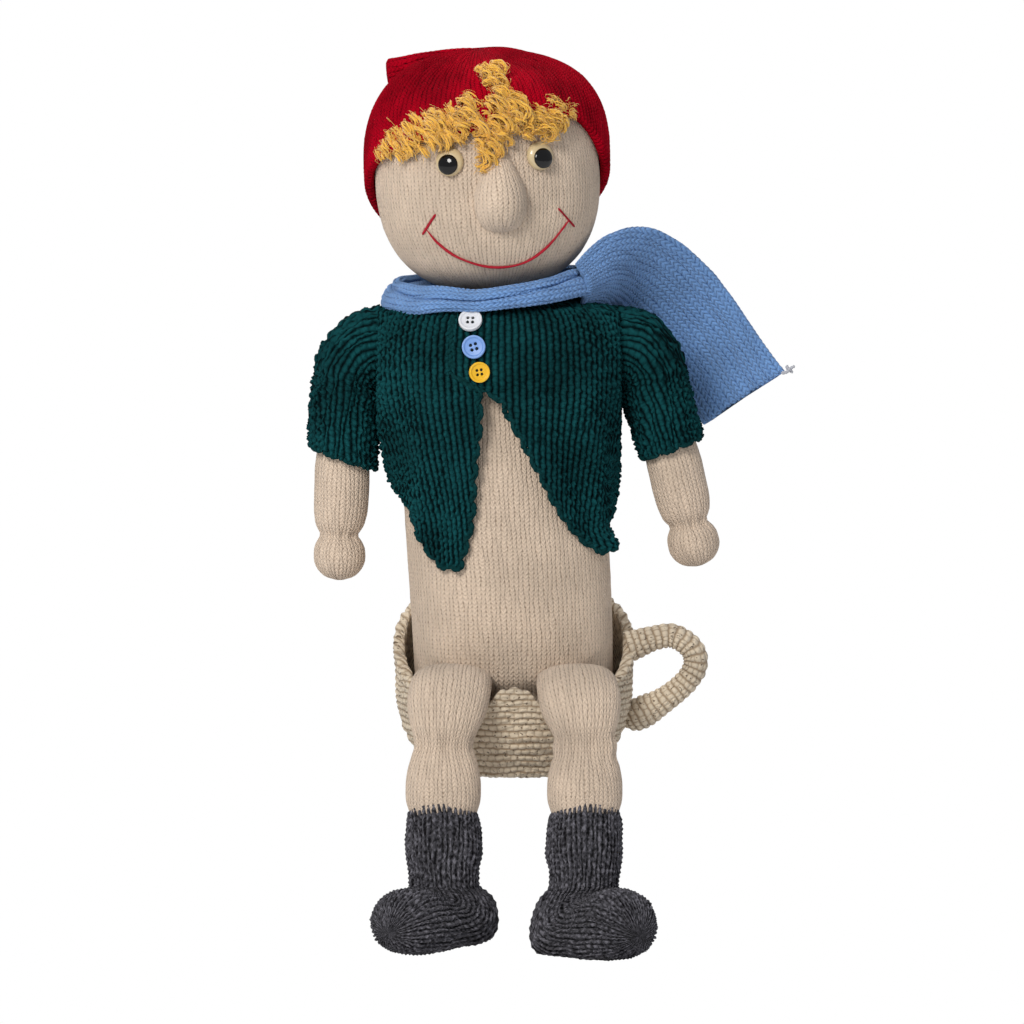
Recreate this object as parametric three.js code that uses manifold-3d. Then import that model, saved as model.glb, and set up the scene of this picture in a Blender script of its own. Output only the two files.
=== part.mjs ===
// A hand-knitted doll that sits in a soft knitted cup with its legs over the rim.
// Millimetres, +Z up. The doll faces -Y. The origin is the middle of the cup's base.
import * as THREE from "three";
import { mergeVertices } from "three/addons/utils/BufferGeometryUtils.js";
import Module from "manifold-3d";

const wasm = await Module();
wasm.setup();

// Clearances between pieces
const seamGap = 0.3; // sewn seams, and one piece resting on another
const swingGap = 0.5; // between pieces that turn against each other

// Cup
const cupBaseRadius = 50;
const cupRimRadius = 71;
const cupWall = 4;
const cupFloor = 5;
const cupFrontHeight = 45;
const cupBackHeight = 104;
const cupRibs = 3;
const cupRibPitch = 8;
const cupRibDepth = 1.3;
const handleThickness = 14;
const handleReach = 45; // from the cup's wall to the outside of the loop
const handleTop = 74; // height of its upper end
const handleBottom = 33; // height of its lower end

// Torso
const torsoHalfWidth = 59;
const torsoHalfDepth = 47;
const torsoBottomHalfWidth = 40;
const torsoHeight = 276;
const shoulderRound = 32; // height of the rounded shoulders
const torsoLean = 9; // sideways, from the base to the shoulders
const skinThickness = 2.4;
const neckHoleRadius = 21;

// Neck and head
const neckRadius = 19;
const neckBallRadius = 22;
const neckPivotHeight = torsoHeight + 14;
const headHalfWidth = 67;
const headHalfDepth = 62;
const headHalfHeight = 70;
const headCentreHeight = torsoHeight + 82;
const headSide = 16; // how far the leaning body carries the head sideways
const headSquareness = 2.4; // exponent of its outline; 2 is an ellipse
const headSides = 18; // facets round it
const headRows = 8;
const headTurn = 5.5; // degrees
const headRoll = 3.5;

// Face
const eyeRadius = 8;
const eyeHeight = 4.2;
const pupilRadius = 5.4;
const eyeAzimuth = 26.5; // degrees from the middle of the face
const eyeElevation = 9.5; // millimetres above the head's middle
const eyeStemRadius = 1.6;
const eyeWasherRadius = 6;
const eyeWasherThickness = 1.6;
const noseHalfWidth = 15;
const noseHalfHeight = 17.5;
const noseReach = 15; // how far it stands out of the face
const noseDrop = 12; // below the head's middle

// Hat
const hatThickness = 5;
const hatEase = 1.7; // between the head and the hat's lining
const brimSide = -19; // brim height at the ears, from the head's middle
const brimFront = 31;
const brimBack = -42;
const hatTailLength = 92;
const hatTailWidth = 54;
const hatTailThickness = 12;

// Hair
const curlRadius = 10;
const curlCount = 13; // in the row along the forehead

// Scarf
const scarfWidth = 22; // of the strip where it is gathered round the neck
const scarfThickness = 7;
const scarfRingHalfWidth = 61;
const scarfRingHalfDepth = 56;
const scarfRingHeight = torsoHeight + 13.6; // of its middle line
const scarfTailThickness = 5;
const scarfTailStart = 15; // half width where it leaves the ring
const scarfTailEndWidth = 62;
const scarfBackTailLength = 96;
const scarfBackTailWidth = 52;

// Jacket
const jacketThickness = 5;
const jacketNeckHeight = torsoHeight + 9;
const jacketSideHem = torsoHeight - 120; // height of the hem below the arms
const jacketLeftTip = torsoHeight - 155; // height of the left front's lowest point
const jacketRightTip = torsoHeight - 142;
const jacketChestRoom = 16; // fullness outside the torso's side at the chest
const jacketNeckHalfWidth = 44;
const jacketNeckHalfDepth = 40;
const armholeHalfSpan = 73; // from the body's middle to the armhole seam
const armholeRadius = 20;
const sleeveCapRadius = 26;
const sleeveHemRadius = 21.5;
const sleeveThickness = 4.5;
const sleeveLength = 64;
const buttonRadius = 7;
const buttonThickness = 2.8;
const buttonRim = 1.2;
const buttonHoleRadius = 0.9;
const buttonHolePitch = 3;
const buttonSpacing = 15;
const buttonTopDrop = 14.3; // from the neck edge to the first button's middle

// Arms
const armRadius = 15.5;
const wristRadius = 12.3;
const handRadius = 15;
const handDrop = 13.5; // from the wrist's tie to the middle of the hand
const shoulderHeight = torsoHeight - 23;

// Legs
const hipSpacing = 70; // between the two hip seams
const kneeSpacing = 84;
const kneeForward = 90;
const kneeHeight = 24;
const hipLift = 15.5; // of the thigh's middle above the cup's front rim, at the hip
const thighHalfWidth = 23;
const thighHalfThickness = 19;
const seamHalfWidth = 18.5;
const seamHalfThickness = 3.5;
const hipSwing = 60; // degrees that a thigh can lift
const shinHalfWidth = 22;
const shinLength = 82;
const ankleRadius = 16;
const bootTopDrop = 44; // from the knee to the boot's top
const bootTopRise = 7; // the cuff stands higher in front
const bootThickness = 3;
const bootShaftRadius = 22.3;
const soleDrop = 125; // from the knee to the sole
const footLength = 84;
const footWidth = 49;
const footHeight = 46;
const heelReach = 34;
const toeOut = 46; // degrees that each foot points outwards
const soleFlat = 2.5; // cut off below for the flat sole

const rad = THREE.MathUtils.degToRad;
const v3 = (x, y, z) => new THREE.Vector3(x, y, z);

// The point of a superellipse at an angle
function superPoint(angle, halfWidth, halfDepth, power = 2) {
  const c = Math.cos(angle);
  const s = Math.sin(angle);
  const e = 2 / power;
  return [
    halfWidth * Math.sign(c) * Math.abs(c) ** e,
    halfDepth * Math.sign(s) * Math.abs(s) ** e,
  ];
}

// Turns a geometry's faces outwards and leaves only merged positions
function closed(geometry) {
  const bare = new THREE.BufferGeometry();
  bare.setAttribute("position", geometry.getAttribute("position"));
  if (geometry.index) bare.setIndex(geometry.index);
  const merged = mergeVertices(bare, 1e-4);
  const p = merged.attributes.position;
  const index = merged.index.array;
  const a = v3();
  const b = v3();
  const c = v3();
  let volume = 0;
  for (let i = 0; i < index.length; i += 3) {
    a.fromBufferAttribute(p, index[i]);
    b.fromBufferAttribute(p, index[i + 1]);
    c.fromBufferAttribute(p, index[i + 2]);
    volume += a.dot(b.cross(c));
  }
  if (volume < 0) {
    for (let i = 0; i < index.length; i += 3) {
      [index[i + 1], index[i + 2]] = [index[i + 2], index[i + 1]];
    }
  }
  return merged;
}

function solid(geometry) {
  const g = closed(geometry);
  return new wasm.Manifold(
    new wasm.Mesh({
      numProp: 3,
      vertProperties: new Float32Array(g.attributes.position.array),
      triVerts: new Uint32Array(g.index.array),
    }),
  );
}

function geometryOf(manifold) {
  const m = manifold.getMesh();
  const g = new THREE.BufferGeometry();
  g.setAttribute("position", new THREE.BufferAttribute(new Float32Array(m.vertProperties), 3));
  g.setIndex(new THREE.BufferAttribute(new Uint32Array(m.triVerts), 1));
  return g;
}

// A closed body through rings of points, with a fan at each end
function throughRings(rings) {
  const n = rings[0].length;
  const middle = (ring) => ring.reduce((sum, p) => sum.add(p), v3(0, 0, 0)).divideScalar(n);
  const points = [...rings.flat(), middle(rings[0]), middle(rings.at(-1))];
  const index = [];
  rings.slice(1).forEach((_, r) => {
    for (let i = 0; i < n; i++) {
      const j = (i + 1) % n;
      index.push(r * n + i, r * n + j, (r + 1) * n + i);
      index.push(r * n + j, (r + 1) * n + j, (r + 1) * n + i);
    }
  });
  const start = rings.length * n;
  for (let i = 0; i < n; i++) {
    const j = (i + 1) % n;
    index.push(start, j, i);
    index.push(start + 1, start - n + i, start - n + j);
  }
  const g = new THREE.BufferGeometry().setFromPoints(points);
  g.setIndex(index);
  return g;
}

// A closed band whose last ring joins its first
function loopOfRings(rings) {
  const n = rings[0].length;
  const count = rings.length;
  const index = [];
  for (let r = 0; r < count; r++) {
    for (let i = 0; i < n; i++) {
      const j = (i + 1) % n;
      const next = ((r + 1) % count) * n;
      index.push(r * n + i, r * n + j, next + i);
      index.push(r * n + j, next + j, next + i);
    }
  }
  const g = new THREE.BufferGeometry().setFromPoints(rings.flat());
  g.setIndex(index);
  return g;
}

// A cloth panel with thickness: face(u, v, depth) gives a point, u and v from 0 to 1
function panel(face, thickness, across, along) {
  const row = (v) => {
    const front = [];
    const back = [];
    for (let i = 0; i <= across; i++) {
      front.push(face(i / across, v, 0));
      back.unshift(face(i / across, v, thickness));
    }
    return [...front, ...back];
  };
  const rings = [];
  for (let k = 0; k <= along; k++) rings.push(row(k / along));
  const n = rings[0].length;
  const index = [];
  for (let r = 0; r < along; r++) {
    for (let i = 0; i < n; i++) {
      const j = (i + 1) % n;
      index.push(r * n + i, r * n + j, (r + 1) * n + i);
      index.push(r * n + j, (r + 1) * n + j, (r + 1) * n + i);
    }
  }
  const last = along * n;
  for (let i = 0; i < across; i++) {
    index.push(i + 1, i, n - 1 - i, i + 1, n - 1 - i, n - 2 - i);
    index.push(last + i, last + i + 1, last + n - 1 - i);
    index.push(last + i + 1, last + n - 2 - i, last + n - 1 - i);
  }
  const g = new THREE.BufferGeometry().setFromPoints(rings.flat());
  g.setIndex(index);
  return g;
}

function ellipsoid(halfWidth, halfDepth, halfHeight, around = 16, up = 10) {
  return new THREE.SphereGeometry(1, around, up)
    .rotateX(Math.PI / 2)
    .scale(halfWidth, halfDepth, halfHeight);
}

// A solid of revolution about Z through [radius, height] pairs that start and end on the axis
function turned(profile, around = 20) {
  return new THREE.LatheGeometry(
    profile.map(([r, z]) => new THREE.Vector2(r, z)),
    around,
  ).rotateX(Math.PI / 2);
}

// A straight bar of round section between two points
function rod(from, to, radius, around = 16) {
  const along = to.clone().sub(from);
  const g = new THREE.CylinderGeometry(radius, radius, along.length(), around);
  g.applyQuaternion(new THREE.Quaternion().setFromUnitVectors(v3(0, 1, 0), along.clone().normalize()));
  const middle = from.clone().add(to).divideScalar(2);
  return g.translate(middle.x, middle.y, middle.z);
}

// The part of a solid on one side of a plane square to X
function sideOf(manifold, x, direction) {
  const size = 1000;
  const g = new THREE.BoxGeometry(size, size, size).translate(x + (direction * size) / 2, 0, 0);
  return manifold.intersect(solid(g));
}

const largest = (manifold) => manifold.decompose().sort((a, b) => b.volume() - a.volume())[0];
const lerp = THREE.MathUtils.lerp;
const smooth = THREE.MathUtils.smoothstep;

// Finishes, read from the photograph
const finish = (color) => new THREE.MeshStandardMaterial({ color, roughness: 0.95, metalness: 0 });
const creamKnit = finish(0xd9c6ab);
const cupYarn = finish(0xd3c9b8);
const greenYarn = finish(0x12453d);
const blueYarn = finish(0x6f97cf);
const redYarn = finish(0xa5091f);
const yellowYarn = finish(0xe0ab3f);
const greyYarn = finish(0x3d3f43);
const filling = finish(0xeeeae0);
const eyeCream = new THREE.MeshStandardMaterial({ color: 0xc9b78f, roughness: 0.2, metalness: 0 });
const eyeBlack = new THREE.MeshStandardMaterial({ color: 0x080808, roughness: 0.12, metalness: 0 });
const plastic = (color) => new THREE.MeshStandardMaterial({ color, roughness: 0.35, metalness: 0 });

function piece(name, shape, material) {
  const geometry = shape.getMesh ? geometryOf(shape) : closed(shape);
  const mesh = new THREE.Mesh(geometry, material);
  mesh.name = name;
  return mesh;
}

const doll = new THREE.Group();

// Cup

// How far up the cup's wall reaches at an angle; the front is pressed down by the legs
function rimHeightAt(angle) {
  const toBack = (1 + Math.sin(angle)) / 2;
  return lerp(cupFrontHeight, cupBackHeight, smooth(toBack, 0, 1));
}

// The cup's outside radius at a height, as a rounded bowl
function cupRadiusAt(height) {
  const t = Math.min(1, height / (cupFrontHeight * 1.1));
  return lerp(cupBaseRadius, cupRimRadius, Math.sin((t * Math.PI) / 2));
}

function cupBowl(grow = 0) {
  const around = 28;
  const ring = (radius, height, side = 1) => {
    const points = [];
    for (let i = 0; i < around; i++) {
      const angle = (i / around) * 2 * Math.PI;
      const z = typeof height === "function" ? height(angle) : height;
      const r = (typeof radius === "function" ? radius(z) : radius) + side * grow;
      points.push(v3(r * Math.cos(angle), r * Math.sin(angle), z));
    }
    return points;
  };
  const ribTop = cupRibs * cupRibPitch;
  const rings = [ring(cupBaseRadius * 0.5, 0), ring(cupBaseRadius, 0)];
  for (let rib = 0; rib < cupRibs; rib++) {
    const low = (rib + 0.5) * cupRibPitch;
    rings.push(ring(cupRadiusAt(low) + cupRibDepth, low));
    rings.push(ring(cupRadiusAt(low + cupRibPitch / 2), low + cupRibPitch / 2));
  }
  const wallAt = (share) => (angle) => lerp(ribTop, rimHeightAt(angle), share);
  rings.push(ring(cupRadiusAt, wallAt(0.45)));
  rings.push(ring((z) => cupRadiusAt(z) + cupRibDepth, wallAt(0.88)));
  rings.push(ring((z) => cupRadiusAt(z) - cupWall / 2, (angle) => rimHeightAt(angle) + grow, 0));
  const inside = (z) => cupRadiusAt(z) - cupWall;
  rings.push(ring((z) => inside(z) - cupRibDepth, wallAt(0.88), -1));
  rings.push(ring(inside, wallAt(0.45), -1));
  rings.push(ring(inside, ribTop, -1));
  rings.push(ring(inside(cupFloor), cupFloor, -1));
  rings.push(ring(cupBaseRadius * 0.5, cupFloor, -1));
  return solid(throughRings(rings));
}

// The knitted handle: a round strip bent into an ear, its two ends sewn to the wall
function cupHandle() {
  const reach = cupRimRadius + handleReach - handleThickness / 2;
  const at = (x, z) => v3(lerp(cupRimRadius, reach, x), 0, lerp(handleBottom, handleTop, z));
  const path = new THREE.CatmullRomCurve3([
    at(-0.1, 0.96), at(0.34, 1.13), at(0.66, 1.16), at(0.94, 0.98), at(1, 0.74),
    at(0.84, 0.48), at(0.5, 0.22), at(0.12, 0.04), at(-0.2, -0.09),
  ]);
  const section = new THREE.Shape();
  section.absellipse(0, 0, handleThickness / 2, handleThickness / 2, 0, 2 * Math.PI);
  const tube = new THREE.ExtrudeGeometry(section, {
    steps: 20,
    extrudePath: path,
    curveSegments: 5,
    bevelEnabled: false,
  });
  const wellRadius = cupRimRadius - cupWall;
  const wellTop = cupBackHeight + handleReach;
  const well = solid(turned([[0, 1], [wellRadius, 1], [wellRadius, wellTop], [0, wellTop]], 36));
  return largest(solid(tube).subtract(cupBowl(seamGap)).subtract(well));
}

doll.add(piece("cup_bowl", cupBowl(), cupYarn));
doll.add(piece("cup_handle", cupHandle(), cupYarn));

// Torso

// Its half width at a height, from the rounded seat to the neck
function torsoWidthAt(z) {
  const seat = 45;
  const shoulder = torsoHeight - shoulderRound;
  if (z < seat) {
    const t = (seat - z) / (seat - cupFloor);
    return lerp(torsoHalfWidth, torsoBottomHalfWidth, t ** 2.2);
  }
  if (z < shoulder) return torsoHalfWidth + 1.5 * Math.sin(((z - seat) / (shoulder - seat)) * Math.PI);
  const t = Math.min(1, (z - shoulder) / (torsoHeight - shoulder));
  return lerp(torsoHalfWidth, neckHoleRadius + skinThickness, 1 - (1 - t ** 2.6) ** (1 / 1.9));
}

const leanAt = (z) => -torsoLean * smooth(z, 40, torsoHeight - 20);

// The torso's ring at a height, moved inwards square to its outline
function torsoRing(z, inset, around = 20) {
  const step = 0.5;
  const slope = (torsoWidthAt(z + step) - torsoWidthAt(z - step)) / (2 * step);
  const inwards = inset / Math.hypot(1, slope);
  const height = z + inwards * slope;
  const full = torsoWidthAt(z);
  const flatten = torsoHalfDepth / torsoHalfWidth;
  const halfDepth = lerp(full, full * flatten, smooth(full, neckHoleRadius, torsoHalfWidth));
  const points = [];
  for (let i = 0; i < around; i++) {
    const angle = (i / around) * 2 * Math.PI;
    const [x, y] = superPoint(angle, full - inwards, halfDepth - inwards, 2.2);
    points.push(v3(leanAt(z) + x, y, height));
  }
  return points;
}

const torsoBottom = cupFloor + seamGap;
const torsoLevels = [0, 0.05, 0.12, 0.3, 0.52, 0.7, 0.82, 0.89, 0.94, 0.975, 0.998].map((share) =>
  lerp(torsoBottom + 0.6, torsoHeight, share),
);

function torsoBody(inset) {
  return solid(throughRings(torsoLevels.map((z) => torsoRing(z, inset))));
}

// Neck: a short stuffed tube with a rounded top that the head turns on
const neckX = -(torsoLean + headSide) / 2 - 1;

function neckShape() {
  const ballTop = [];
  for (let i = 0; i <= 6; i++) {
    const a = lerp(-20, 90, i / 6);
    ballTop.push([neckBallRadius * Math.cos(rad(a)), neckPivotHeight + neckBallRadius * Math.sin(rad(a))]);
  }
  const foot = torsoHeight + seamGap;
  const crown = [0, ballTop.pop()[1]];
  const profile = [[0, foot], [neckRadius, foot], ...ballTop, crown];
  return solid(turned(profile, 20).translate(neckX, 0, 0));
}

const torsoOuter = torsoBody(0);
const neckOpening = rod(
  v3(neckX + 3, 0, torsoHeight - 4 * skinThickness),
  v3(neckX + 3, 0, torsoHeight + skinThickness),
  neckHoleRadius - 3,
  20,
);
const torsoSkin = torsoOuter.subtract(torsoBody(skinThickness)).subtract(solid(neckOpening));
const torsoFilling = torsoBody(skinThickness + seamGap);
doll.add(piece("torso_skin", torsoSkin, creamKnit));
doll.add(piece("torso_filling", torsoFilling, filling));
doll.add(piece("neck", neckShape(), creamKnit));

// Head, built about its own middle and then turned

function headRadiusAt(share, inset) {
  const height = headHalfHeight - inset;
  const t = Math.min(1, Math.abs(share));
  return [(1 - t ** headSquareness) ** (1 / headSquareness), height];
}

function headPoint(azimuth, z, inset) {
  const [k, height] = headRadiusAt(z / (headHalfHeight - inset), inset);
  return v3(
    Math.sin(azimuth) * k * (headHalfWidth - inset),
    -Math.cos(azimuth) * k * (headHalfDepth - inset),
    THREE.MathUtils.clamp(z, -height, height),
  );
}

function headBody(inset) {
  const rings = [];
  for (let k = 0; k <= headRows; k++) {
    const a = lerp(-84, 84, k / headRows);
    const z = (headHalfHeight - inset) * Math.sign(a) * Math.abs(Math.sin(rad(a))) ** (2 / headSquareness);
    const ring = [];
    for (let i = 0; i < headSides; i++) ring.push(headPoint((i / headSides) * 2 * Math.PI, z, inset));
    rings.push(ring);
  }
  return solid(throughRings(rings));
}

const head = new THREE.Group();
head.position.set(-headSide, 0, headCentreHeight);
head.rotation.set(0, rad(-headRoll), rad(headTurn), "ZYX");
doll.add(head);
head.updateMatrixWorld(true);
const toHead = head.matrixWorld.clone().invert();
const neckPivot = v3(neckX, 0, neckPivotHeight).applyMatrix4(toHead);
const neckSocket = (gap) => {
  const r = neckBallRadius + gap;
  return solid(ellipsoid(r, r, r, 18, 12).translate(neckPivot.x, neckPivot.y, neckPivot.z));
};

const eyes = [["eye_left", -1], ["eye_right", 1]].map(([name, side]) => {
  const seat = headPoint(rad(side * eyeAzimuth), eyeElevation, 0);
  const azimuth = rad(side * eyeAzimuth);
  const outwards = v3(Math.sin(azimuth), -Math.cos(azimuth), 0.12).normalize();
  return { name, seat, turn: new THREE.Quaternion().setFromUnitVectors(v3(0, 0, 1), outwards) };
});

function onEye(eye, geometry) {
  return geometry.applyQuaternion(eye.turn).translate(eye.seat.x, eye.seat.y, eye.seat.z);
}

const washerDepth = skinThickness + 2;

// The stem and the washer that hold an eye from inside the head
function eyeHold(eye, gap) {
  const r = eyeStemRadius + gap;
  const w = eyeWasherRadius + gap;
  const top = seamGap + 0.1;
  const low = -washerDepth - eyeWasherThickness - gap;
  const shelf = -washerDepth + gap;
  const profile = [[0, low], [w, low], [w, shelf], [r, shelf], [r, top], [0, top]];
  return solid(onEye(eye, turned(profile, 12)));
}

function eyeParts(eye) {
  const dome = [];
  for (let i = 0; i <= 4; i++) {
    const a = rad(lerp(20, 90, i / 4));
    dome.push([eyeRadius * Math.cos(a), eyeHeight * Math.sin(a) + 1]);
  }
  const crown = [0, dome.pop()[1]];
  const lens = turned([[0, 0.5], [eyeRadius - 1, 0.5], ...dome, crown], 16);
  const pupil = (gap) => {
    const r = pupilRadius + gap;
    const low = eyeHeight - 1 - gap;
    const high = eyeHeight + 1.8;
    return turned([[0, low], [r, low], [r, high - 1.4], [pupilRadius * 0.6, high - 0.5], [0, high]], 14);
  };
  const ring = largest(solid(lens).subtract(solid(pupil(0.1))));
  const onHead = solid(onEye(eye, geometryOf(ring))).subtract(headGrown);
  return [largest(onHead), solid(onEye(eye, pupil(0)))];
}

const headOuter = headBody(0);
const headGrown = headBody(-seamGap);
const eyeHoles = eyes.map((eye) => eyeHold(eye, 0.2));
const headSkin = eyeHoles.reduce(
  (made, hole) => made.subtract(hole),
  headOuter.subtract(headBody(skinThickness)).subtract(neckSocket(swingGap)),
);
const headFilling = eyeHoles.reduce(
  (made, hole) => made.subtract(hole),
  headBody(skinThickness + seamGap).subtract(neckSocket(swingGap)),
);
head.add(piece("head_skin", headSkin, creamKnit));
head.add(piece("head_filling", headFilling, filling));
for (const eye of eyes) {
  const [lens, pupil] = eyeParts(eye);
  const hold = eyeHold(eye, 0);
  head.add(piece(eye.name, lens, eyeCream));
  head.add(piece(eye.name + "_pupil", pupil, eyeBlack));
  head.add(piece(eye.name + "_washer", hold.subtract(lens), plastic(0xf0f0f0)));
}

function noseShape() {
  const seat = headPoint(0, -noseDrop, 0);
  const depth = noseReach + 4;
  const ball = ellipsoid(noseHalfWidth, depth, noseHalfHeight, 14, 10)
    .rotateX(rad(-8))
    .translate(seat.x + 1.5, seat.y + depth - noseReach, seat.z);
  return largest(solid(ball).subtract(headGrown));
}
head.add(piece("nose", noseShape(), creamKnit));

// Hat: a cap round the back and top of the head, its long end folded down behind

// The brim's height for a depth across the head: a curve from the forehead to the nape
function brimAt(y) {
  const front = -headHalfDepth * 0.9;
  const back = headHalfDepth * 0.8;
  const bend = ((brimFront - brimSide) / front - (brimBack - brimSide) / back) / (front - back);
  const slope = (brimFront - brimSide) / front - bend * front;
  return brimSide + slope * y + bend * y * y;
}

function hatCap(grow = 0) {
  const rows = 5;
  const brim = [];
  for (let i = 0; i < headSides; i++) {
    const azimuth = (i / headSides) * 2 * Math.PI;
    let z = brimSide;
    for (let k = 0; k < 12; k++) z = brimAt(headPoint(azimuth, z, 0).y);
    brim.push([azimuth, z - grow]);
  }
  const ring = (share, inset) => brim.map(([azimuth, z]) => {
    const top = headHalfHeight - inset;
    const low = Math.asin(THREE.MathUtils.clamp(z / top, -1, 1));
    const high = rad(83);
    const a = lerp(low, high, share);
    return headPoint(azimuth, top * Math.sin(a), inset);
  });
  const outside = [];
  const inside = [];
  for (let k = 0; k <= rows; k++) {
    outside.unshift(ring(k / rows, -hatEase - hatThickness - grow));
    inside.push(ring(k / rows, grow - hatEase));
  }
  return solid(throughRings([...outside, ...inside]));
}

function hatTail() {
  const path = new THREE.CatmullRomCurve3([
    v3(2, 10, headHalfHeight - 1),
    v3(-24, 22, headHalfHeight + 1),
    v3(-47, 31, headHalfHeight - 5),
    v3(-60, 48, headHalfHeight * 0.48),
    v3(-50, headHalfDepth + 3, 4),
    v3(-38, headHalfDepth + 5, headHalfHeight * 0.5 - hatTailLength * 0.68),
  ]);
  const steps = 9;
  const rings = [];
  for (let k = 0; k <= steps; k++) {
    const t = k / steps;
    const centre = path.getPoint(t);
    const along = path.getTangent(t);
    const out = centre.clone().multiply(v3(1, 1.3, 1)).normalize();
    const across = out.clone().cross(along).normalize();
    const flat = along.clone().cross(across).normalize();
    const width = (hatTailWidth / 2) * (1 - 0.6 * t ** 1.6);
    const ring = [];
    for (let i = 0; i < 12; i++) {
      const [x, y] = superPoint((i / 12) * 2 * Math.PI, width, hatTailThickness / 2, 2.4);
      ring.push(centre.clone().addScaledVector(across, x).addScaledVector(flat, y));
    }
    rings.push(ring);
  }
  return solid(throughRings(rings)).subtract(headBody(-hatEase));
}

head.add(piece("hat", largest(hatCap().add(hatTail())), redYarn));

// Hair: clumps of curly yarn sewn along the brim, over the forehead
function hairFringe() {
  const clumps = [];
  const curl = (azimuth, z, proud, r) => {
    const seat = headPoint(rad(azimuth), z, -proud);
    clumps.push(solid(ellipsoid(r, r * 0.85, r, 7, 4).translate(seat.x, seat.y, seat.z)));
  };
  const edgeAt = (azimuth) => brimAt(headPoint(rad(azimuth), 20, 0).y);
  for (let i = 0; i < curlCount; i++) {
    const share = i / (curlCount - 1);
    const azimuth = lerp(-72, 60, share);
    const full = Math.sin(share * Math.PI);
    const size = 0.66 + 0.3 * full + 0.08 * Math.sin(share * 23);
    curl(azimuth, edgeAt(azimuth) - 5 * full, 3, curlRadius * size);
  }
  for (let azimuth = -34; azimuth < 50; azimuth += 16) {
    const full = Math.cos(rad(azimuth - 8));
    curl(azimuth, edgeAt(azimuth) + 7 * full, 7.5, curlRadius * (0.72 + 0.12 * full));
  }
  curl(4, edgeAt(0) - 14, 4, curlRadius * 0.72);
  curl(12, edgeAt(0) + 17, 8, curlRadius * 0.78);
  curl(10, edgeAt(0) + 27, 8.5, curlRadius * 0.66);
  const joined = clumps.reduce((sum, clump) => sum.add(clump)).subtract(headGrown).subtract(hatCap(seamGap));
  const r = eyeRadius + 2 * seamGap;
  const eyeRoom = (eye) => solid(onEye(eye, ellipsoid(r, r, r, 12, 8)));
  return largest(eyes.reduce((made, eye) => made.subtract(eyeRoom(eye)), joined));
}
head.add(piece("hair_fringe", hairFringe(), yellowYarn));

// Jacket

// Reads a list of [height, value, ...] rows at a height, with straight lines between the rows
function readAt(rows, z, column) {
  const last = rows.findIndex(([height]) => height >= z);
  if (last === 0) return rows[0][column];
  if (last < 0) return rows.at(-1)[column];
  const [low, high] = [rows[last - 1], rows[last]];
  return lerp(low[column], high[column], (z - low[0]) / (high[0] - low[0]));
}

// The jacket's outside, as [height, half width, half depth]: full at the chest, square at the shoulders
const hemRoom = jacketThickness + 2;
const jacketOutline = [
  [-165, torsoHalfWidth + hemRoom, torsoHalfDepth + hemRoom],
  [-135, torsoHalfWidth + hemRoom, torsoHalfDepth + hemRoom + 0.5],
  [-115, torsoHalfWidth + hemRoom + 2, torsoHalfDepth + hemRoom + 3],
  [-87, torsoHalfWidth + hemRoom + jacketChestRoom * 0.5, torsoHalfDepth + hemRoom + 7],
  [-60, torsoHalfWidth + hemRoom + jacketChestRoom * 0.86, torsoHalfDepth + hemRoom + 8.5],
  [-35, torsoHalfWidth + hemRoom + jacketChestRoom * 0.94, torsoHalfDepth + hemRoom + 8],
  [-23, torsoHalfWidth + hemRoom + jacketChestRoom * 0.86, torsoHalfDepth + hemRoom + 6.5],
  [-15, torsoHalfWidth + hemRoom + jacketChestRoom * 0.6, torsoHalfDepth + hemRoom + 4.5],
  [-9, lerp(torsoHalfWidth, jacketNeckHalfWidth, -0.65), lerp(torsoHalfDepth, jacketNeckHalfDepth, -1)],
  [-5, lerp(torsoHalfWidth, jacketNeckHalfWidth, -0.07), lerp(torsoHalfDepth, jacketNeckHalfDepth, -0.35)],
  [-2, lerp(torsoHalfWidth, jacketNeckHalfWidth, 0.6), lerp(torsoHalfDepth, jacketNeckHalfDepth, 0.35)],
  [0, jacketNeckHalfWidth, jacketNeckHalfDepth],
].map(([drop, halfWidth, halfDepth]) => [jacketNeckHeight + drop, halfWidth, halfDepth]);

function jacketPoint(angle, z, depth) {
  const step = 3;
  const slope = (readAt(jacketOutline, z + step, 1) - readAt(jacketOutline, z - step, 1)) / (2 * step);
  const inwards = depth / Math.hypot(1, slope);
  const halfWidth = readAt(jacketOutline, z, 1) - inwards;
  const halfDepth = readAt(jacketOutline, z, 2) - inwards;
  const [x, y] = superPoint(angle, halfWidth, halfDepth, 2.2);
  return v3(leanAt(z) + x, y, z + inwards * slope);
}

// Where each front's edge runs: [height, degrees round the body], -90 is the middle of the front
const overlapEdge = -109;
const sideSeam = 0.3; // half the gap between back and front, in degrees
const hemSlant = 8; // the hem is higher on the doll's right
const buttonedDown = jacketNeckHeight - 41;
const leftEdge = [
  [jacketLeftTip, -116], [buttonedDown - 89, -107], [buttonedDown - 59, -102.5],
  [buttonedDown - 29, -98], [buttonedDown - 13, -97.5],
  [buttonedDown - 6, -103.6], [buttonedDown, overlapEdge - 0.6], [jacketNeckHeight, overlapEdge - 0.6],
];
const rightEdge = [
  [jacketRightTip, -34], [buttonedDown - 89, -58], [buttonedDown - 59, -74.5],
  [buttonedDown - 29, -86.5], [buttonedDown - 13, -93],
  [buttonedDown - 6, -102], [buttonedDown, overlapEdge], [jacketNeckHeight, overlapEdge],
];

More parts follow.
